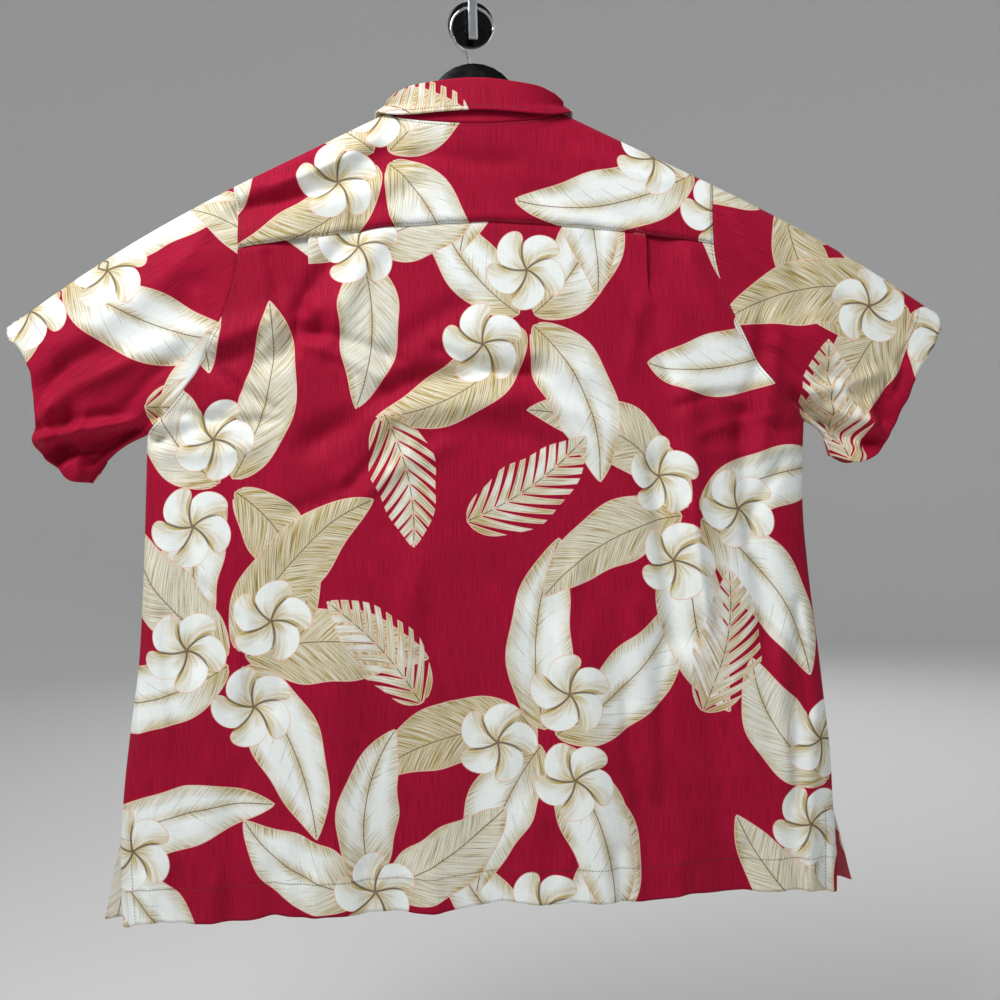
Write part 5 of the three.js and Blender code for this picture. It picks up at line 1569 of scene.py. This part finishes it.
def tube_mesh(name, rings):
    """A smooth tube through rings of points, closed at both ends by a fan to a middle point."""
    count, width = rings.shape[:2]
    index = np.arange(count * width).reshape(count, width)
    after = np.roll(index, -1, axis=1)
    faces = np.stack([index[:-1], after[:-1], after[1:], index[1:]], -1).reshape(-1, 4)
    mesh = new_mesh(name, rings.reshape(-1, 3), faces)
    work = bmesh.new()
    work.from_mesh(mesh)
    work.verts.ensure_lookup_table()
    for ring in (index[0], index[-1]):
        work.faces.new([work.verts[i] for i in ring])
    bmesh.ops.recalc_face_normals(work, faces=work.faces)
    for face in work.faces:
        face.smooth = True
    work.to_mesh(mesh)
    work.free()
    return mesh


def rose_mesh():
    """The round plate, lathed: flat back, upright rim, soft edge and a face that domes a little."""
    profile = [(0, 0), (22.6, 0), (23.4, 0.25), (23.9, 0.9), (24, 2), (24, 5.2)]
    profile += [(24 - 1.6 + 1.6 * math.cos(a), 5.4 + 1.6 * math.sin(a))
                for a in np.radians([15, 30, 45, 60, 75, 90])]
    profile += [(20, 7.0), (17, 7.0), (10, 7.0), (3, 7.0)]
    turn = np.linspace(0, 2 * math.pi, 97)[:-1]
    rings = np.array([
        [(r * math.cos(a), -h, r * math.sin(a)) for a in turn] for r, h in profile[1:]
    ])
    return tube_mesh("round plate", rings)


def button_stitches(z):
    """Thread through a button's holes: two bars, just off the button's face."""
    y = float(surface_y(0.0, z, FRONT)) + LAP + 0.3 + BUTTON_ROWS["thick"] + 0.1
    return [np.array([[x, y, z - 1.6], [x, y, z + 1.6]]) for x in (-1.5, 1.5)]


def buttonhole(z):
    """Close stitches down both sides of an upright buttonhole on the lapping front."""
    up = np.linspace(z - 8.5, z + 8.5, 24)
    return [lines_on(FRONT, np.full(24, x), up, LAP + 0.25) for x in (-1.3, 1.3)]


def camera_place():
    """Where the photograph was taken from: straight on, a little to the left, and rolled."""
    yaw, roll, away = math.radians(4.291), math.radians(-1.504), 1100.0
    target = np.array([14.0, -50.0, -494.7])
    ahead = np.array([math.sin(yaw), math.cos(yaw), 0.0])
    level, up = np.array([math.cos(yaw), -math.sin(yaw), 0.0]), np.array([0.0, 0.0, 1.0])
    right = math.cos(roll) * level + math.sin(roll) * up
    over = math.cos(roll) * up - math.sin(roll) * level
    return (target - away * ahead) * MM, right, over, ahead


# Sizes and colours that a user would change
class ShirtSizes(bpy.types.PropertyGroup):
    ply: bpy.props.FloatProperty(
        name="Cloth", description="Thickness of one ply of the shirt's cloth, in millimetres",
        default=0.7, min=0.4, max=1.0)
    collar_ply: bpy.props.FloatProperty(
        name="Collar", description="Thickness of the interlined collar, in millimetres",
        default=1.5, min=0.8, max=1.6)
    pitch: bpy.props.FloatProperty(
        name="Stitch pitch", description="From one stitch to the next",
        default=3.2 * MM, unit="LENGTH", subtype="DISTANCE")
    length: bpy.props.FloatProperty(
        name="Stitch length", description="Length of one stitch that shows",
        default=2.4 * MM, unit="LENGTH", subtype="DISTANCE")
    radius: bpy.props.FloatProperty(
        name="Thread radius", description="Half the thickness of the thread",
        default=0.28 * MM, unit="LENGTH", subtype="DISTANCE")


COLOURS = {
    "crimson": ("#AD0D36", "Ground of the print"),
    "deep": ("#98092B", "Ground where the dye took more"),
    "dark": ("#76061E", "Slubs of the ground"),
    "cream": ("#F4F9F6", "Blades and petals"),
    "gold": ("#C2A85A", "Brush washes"),
    "olive": ("#806A2C", "Darkest brush streaks"),
    "ink": ("#5B4632", "Pen lines"),
    "peach": ("#F0C3B0", "Outlines of the motifs"),
    "wrong_side": ("#A98A86", "What the wrong side of the cloth tends to"),
    "thread": ("#6E3A30", "Sewing thread"),
    # painted shade: this darker thread colour stands for the shaded grooves between the plies
    "thread_dark": ("#4A241F", "Sewing thread between its plies"),
    "shell": ("#E9E0CF", "Buttons"),
    "shell_dark": ("#CDBFA6", "Clouds in the buttons"),
    "black": ("#070708", "Hanger"),
    "black_worn": ("#141416", "Hanger where it is scuffed"),
    "chrome": ("#D5D8DC", "Hooks"),
    "enamel": ("#070505", "Round plate"),
    "studio": ("#F3F3F1", "Floor"),
}


class ShirtColours(bpy.types.PropertyGroup):
    __annotations__ = {
        name: bpy.props.FloatVectorProperty(
            name=name.replace("_", " ").capitalize(), description=use,
            default=linear(value), size=4, min=0, max=1, subtype="COLOR")
        for name, (value, use) in COLOURS.items()
    }


def cut_cloth(node, sheet, ply):
    """Makes a cloth piece that takes the place of a node. The collar's faces are both printed."""
    wrong_side = 0.0 if node == "collar" else 1.0
    mesh = sheet.wall(node, ply, PRINT_PLACES[node], wrong_side)
    finished(node + "_cloth", mesh, material_for("rayon"), node)


class SHIRT_OT_yoke(bpy.types.Operator):
    """Cut the back yoke, which comes forward over both shoulders"""

    bl_idname = "shirt.yoke"
    bl_label = "Yoke"

    def execute(self, context):
        cut_cloth("yoke", yoke_sheet(), context.scene.shirt_sizes.ply)
        return {"FINISHED"}


class SHIRT_OT_back(bpy.types.Operator):
    """Cut the back with its two knife pleats"""

    bl_idname = "shirt.back"
    bl_label = "Back"

    def execute(self, context):
        cut_cloth("back", back_sheet(), context.scene.shirt_sizes.ply)
        return {"FINISHED"}


class SHIRT_OT_fronts(bpy.types.Operator):
    """Cut both fronts"""

    bl_idname = "shirt.fronts"
    bl_label = "Fronts"

    def execute(self, context):
        for side, name in SIDES.items():
            cut_cloth(f"front_{name}", front_sheet(side), context.scene.shirt_sizes.ply)
        return {"FINISHED"}


class SHIRT_OT_sleeves(bpy.types.Operator):
    """Cut both sleeves"""

    bl_idname = "shirt.sleeves"
    bl_label = "Sleeves"

    def execute(self, context):
        for side, name in SIDES.items():
            cut_cloth(f"sleeve_{name}", sleeve_sheet(side), context.scene.shirt_sizes.ply)
        return {"FINISHED"}


class SHIRT_OT_collar(bpy.types.Operator):
    """Fold the collar"""

    bl_idname = "shirt.collar"
    bl_label = "Collar"

    def execute(self, context):
        cut_cloth("collar", collar_sheet(), context.scene.shirt_sizes.collar_ply)
        return {"FINISHED"}


class SHIRT_OT_sewing(bpy.types.Operator):
    """Sew all seams and hems"""

    bl_idname = "shirt.sewing"
    bl_label = "Sewing"

    def execute(self, context):
        sizes = context.scene.shirt_sizes
        stitch = (sizes.pitch, sizes.length, sizes.radius)
        lines = {
            "yoke": yoke_stitching(), "back": back_stitching(), "collar": collar_stitching(),
        }
        for side, name in SIDES.items():
            lines[f"front_{name}"] = front_stitching(side)
            lines[f"sleeve_{name}"] = sleeve_stitching(side) + armhole_stitching(side)
        sewn = {node: [sew(f"{node}_stitches", rows, *stitch)] for node, rows in lines.items()}
        return {"FINISHED"}


class SHIRT_OT_buttons(bpy.types.Operator):
    """Copy the buttons with rounded edges and sew them on"""

    bl_idname = "shirt.buttons"
    bl_label = "Buttons"

    def execute(self, context):
        resin = material_for("resin")
        lines, holes = [], []
        for i in range(BUTTON_ROWS["count"]):
            node = f"button_{i + 1}"
            obj = finished(node + "_resin", welded_copy(node), resin, node)
            bevel = obj.modifiers.new("rounded", "BEVEL")
            bevel.width, bevel.segments, bevel.limit_method = 0.35 * MM, 2, "ANGLE"
            z = BUTTON_ROWS["first"] - BUTTON_ROWS["pitch"] * i
            lines += button_stitches(z)
            holes += buttonhole(z)
        sew("button_stitches", lines, 0.6 * MM, 1.2 * MM, 0.3 * MM)
        sew("buttonhole_stitches", holes, 0.7 * MM, 0.9 * MM, 0.4 * MM)
        return {"FINISHED"}


class SHIRT_OT_hanging(bpy.types.Operator):
    """Finish the hanger, its hook and the wall hook"""

    bl_idname = "shirt.hanging"
    bl_label = "Hanger and hooks"

    def execute(self, context):
        chrome = material_for("chrome")
        finished("wire_hook_chrome", wire_hook(), chrome, "hanger_hook")
        finished("round_plate_enamel", rose_mesh(), material_for("enamel"),
                 "wall_hook_rose")
        for name, node, material, slot in (
            ("hanger_plastic", "hanger_body", material_for("plastic"), "hanger"),
            ("wall_prong_chrome", "wall_hook_arm", chrome, "chrome"),
        ):
            obj = finished(name, welded_copy(node), material, node)
            obj.data.shade_smooth()
            obj.data.set_sharp_from_angle(angle=math.radians(40))
        return {"FINISHED"}


class SHIRT_OT_stage(bpy.types.Operator):
    """Set the pale studio, its soft light and the camera"""

    bl_idname = "shirt.stage"
    bl_label = "Stage"

    def execute(self, context):
        scene = context.scene
        radius, rise, bend, floor = 7.0, 5.0, 2.0, -1.35
        profile = [(0.0005, floor), (radius - bend, floor)]
        profile += [(radius - bend + bend * math.sin(a), floor + bend - bend * math.cos(a))
                    for a in np.radians(np.linspace(10, 90, 9))]
        profile.append((radius, floor + rise))
        turn = np.linspace(0, 2 * math.pi, 65)[:-1]
        rings = np.array([[(r * math.cos(a), r * math.sin(a), z) for a in turn]
                          for r, z in profile]) / MM
        index = np.arange(rings.shape[0] * 64).reshape(-1, 64)
        after = np.roll(index, -1, axis=1)
        faces = np.stack([index[:-1], after[:-1], after[1:], index[1:]], -1).reshape(-1, 4)
        mesh = new_mesh("floor", rings.reshape(-1, 3), faces[:, ::-1])
        mesh.materials.append(material_for("paint"))
        cove = bpy.data.objects.new("floor", mesh)
        scene.collection.objects.link(cove)
        world = bpy.data.worlds.new("pale studio")
        world.use_nodes = True
        shade = world.node_tree.nodes["Background"]
        shade.inputs["Color"].default_value = linear("#F2F4F8")
        shade.inputs["Strength"].default_value = 0.32
        scene.world = world
        # place, size, power and warmth of each soft light
        for name, place, size, power, colour in (
            ("key", (-0.7, -0.95, 0.85), 0.7, 28.0, "#FFFFFF"),
            ("fill", (2.4, -3.0, 0.4), 2.4, 6.0, "#F4F8FF"),
            ("back", (1.2, 3.4, 1.6), 2.4, 40.0, "#FFFFFF"),
        ):
            light = bpy.data.lights.new(name, "AREA")
            light.size, light.energy = size, power
            light.color = linear(colour)[:3]
            lamp = bpy.data.objects.new(name, light)
            scene.collection.objects.link(lamp)
            aim = Vector((0.0, 0.0, -0.42)) - Vector(place)
            lamp.location = place
            lamp.rotation_euler = aim.to_track_quat("-Z", "Y").to_euler()
        camera = bpy.data.cameras.new("camera")
        camera.sensor_width, camera.lens = 36.0, 39.6
        camera.clip_start = 0.05
        stand = bpy.data.objects.new("camera", camera)
        scene.collection.objects.link(stand)
        place, right, over, ahead = camera_place()
        basis = Matrix([list(right), list(over), list(-ahead)]).transposed()
        stand.matrix_world = Matrix.Translation(Vector(place)) @ basis.to_4x4()
        scene.camera = stand
        scene.view_settings.view_transform = "Standard"
        return {"FINISHED"}


STEPS = (
    SHIRT_OT_yoke, SHIRT_OT_back, SHIRT_OT_fronts, SHIRT_OT_sleeves, SHIRT_OT_collar,
    SHIRT_OT_sewing, SHIRT_OT_buttons, SHIRT_OT_hanging, SHIRT_OT_stage,
)


class SHIRT_PT_panel(bpy.types.Panel):
    """Steps of the shirt in the order in which they run"""

    bl_idname = "SHIRT_PT_panel"
    bl_label = "Camp shirt"
    bl_space_type = "VIEW_3D"
    bl_region_type = "UI"
    bl_category = "Shirt"

    def draw(self, context):
        for step in STEPS:
            self.layout.operator(step.bl_idname)
        for name in ("ply", "collar_ply", "pitch", "length", "radius"):
            self.layout.prop(context.scene.shirt_sizes, name)
        for name in COLOURS:
            self.layout.prop(context.scene.shirt_colours, name)


CLASSES = (ShirtSizes, ShirtColours, *STEPS, SHIRT_PT_panel)


def register():
    for cls in CLASSES:
        bpy.utils.register_class(cls)
    bpy.types.Scene.shirt_sizes = bpy.props.PointerProperty(type=ShirtSizes)
    bpy.types.Scene.shirt_colours = bpy.props.PointerProperty(type=ShirtColours)


def unregister():
    del bpy.types.Scene.shirt_sizes
    del bpy.types.Scene.shirt_colours
    for cls in reversed(CLASSES):
        bpy.utils.unregister_class(cls)


def main():
    """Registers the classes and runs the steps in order."""
    register()
    for step in STEPS:
        group, name = step.bl_idname.split(".")
        getattr(getattr(bpy.ops, group), name)()


if __name__ == "__main__":
    main()
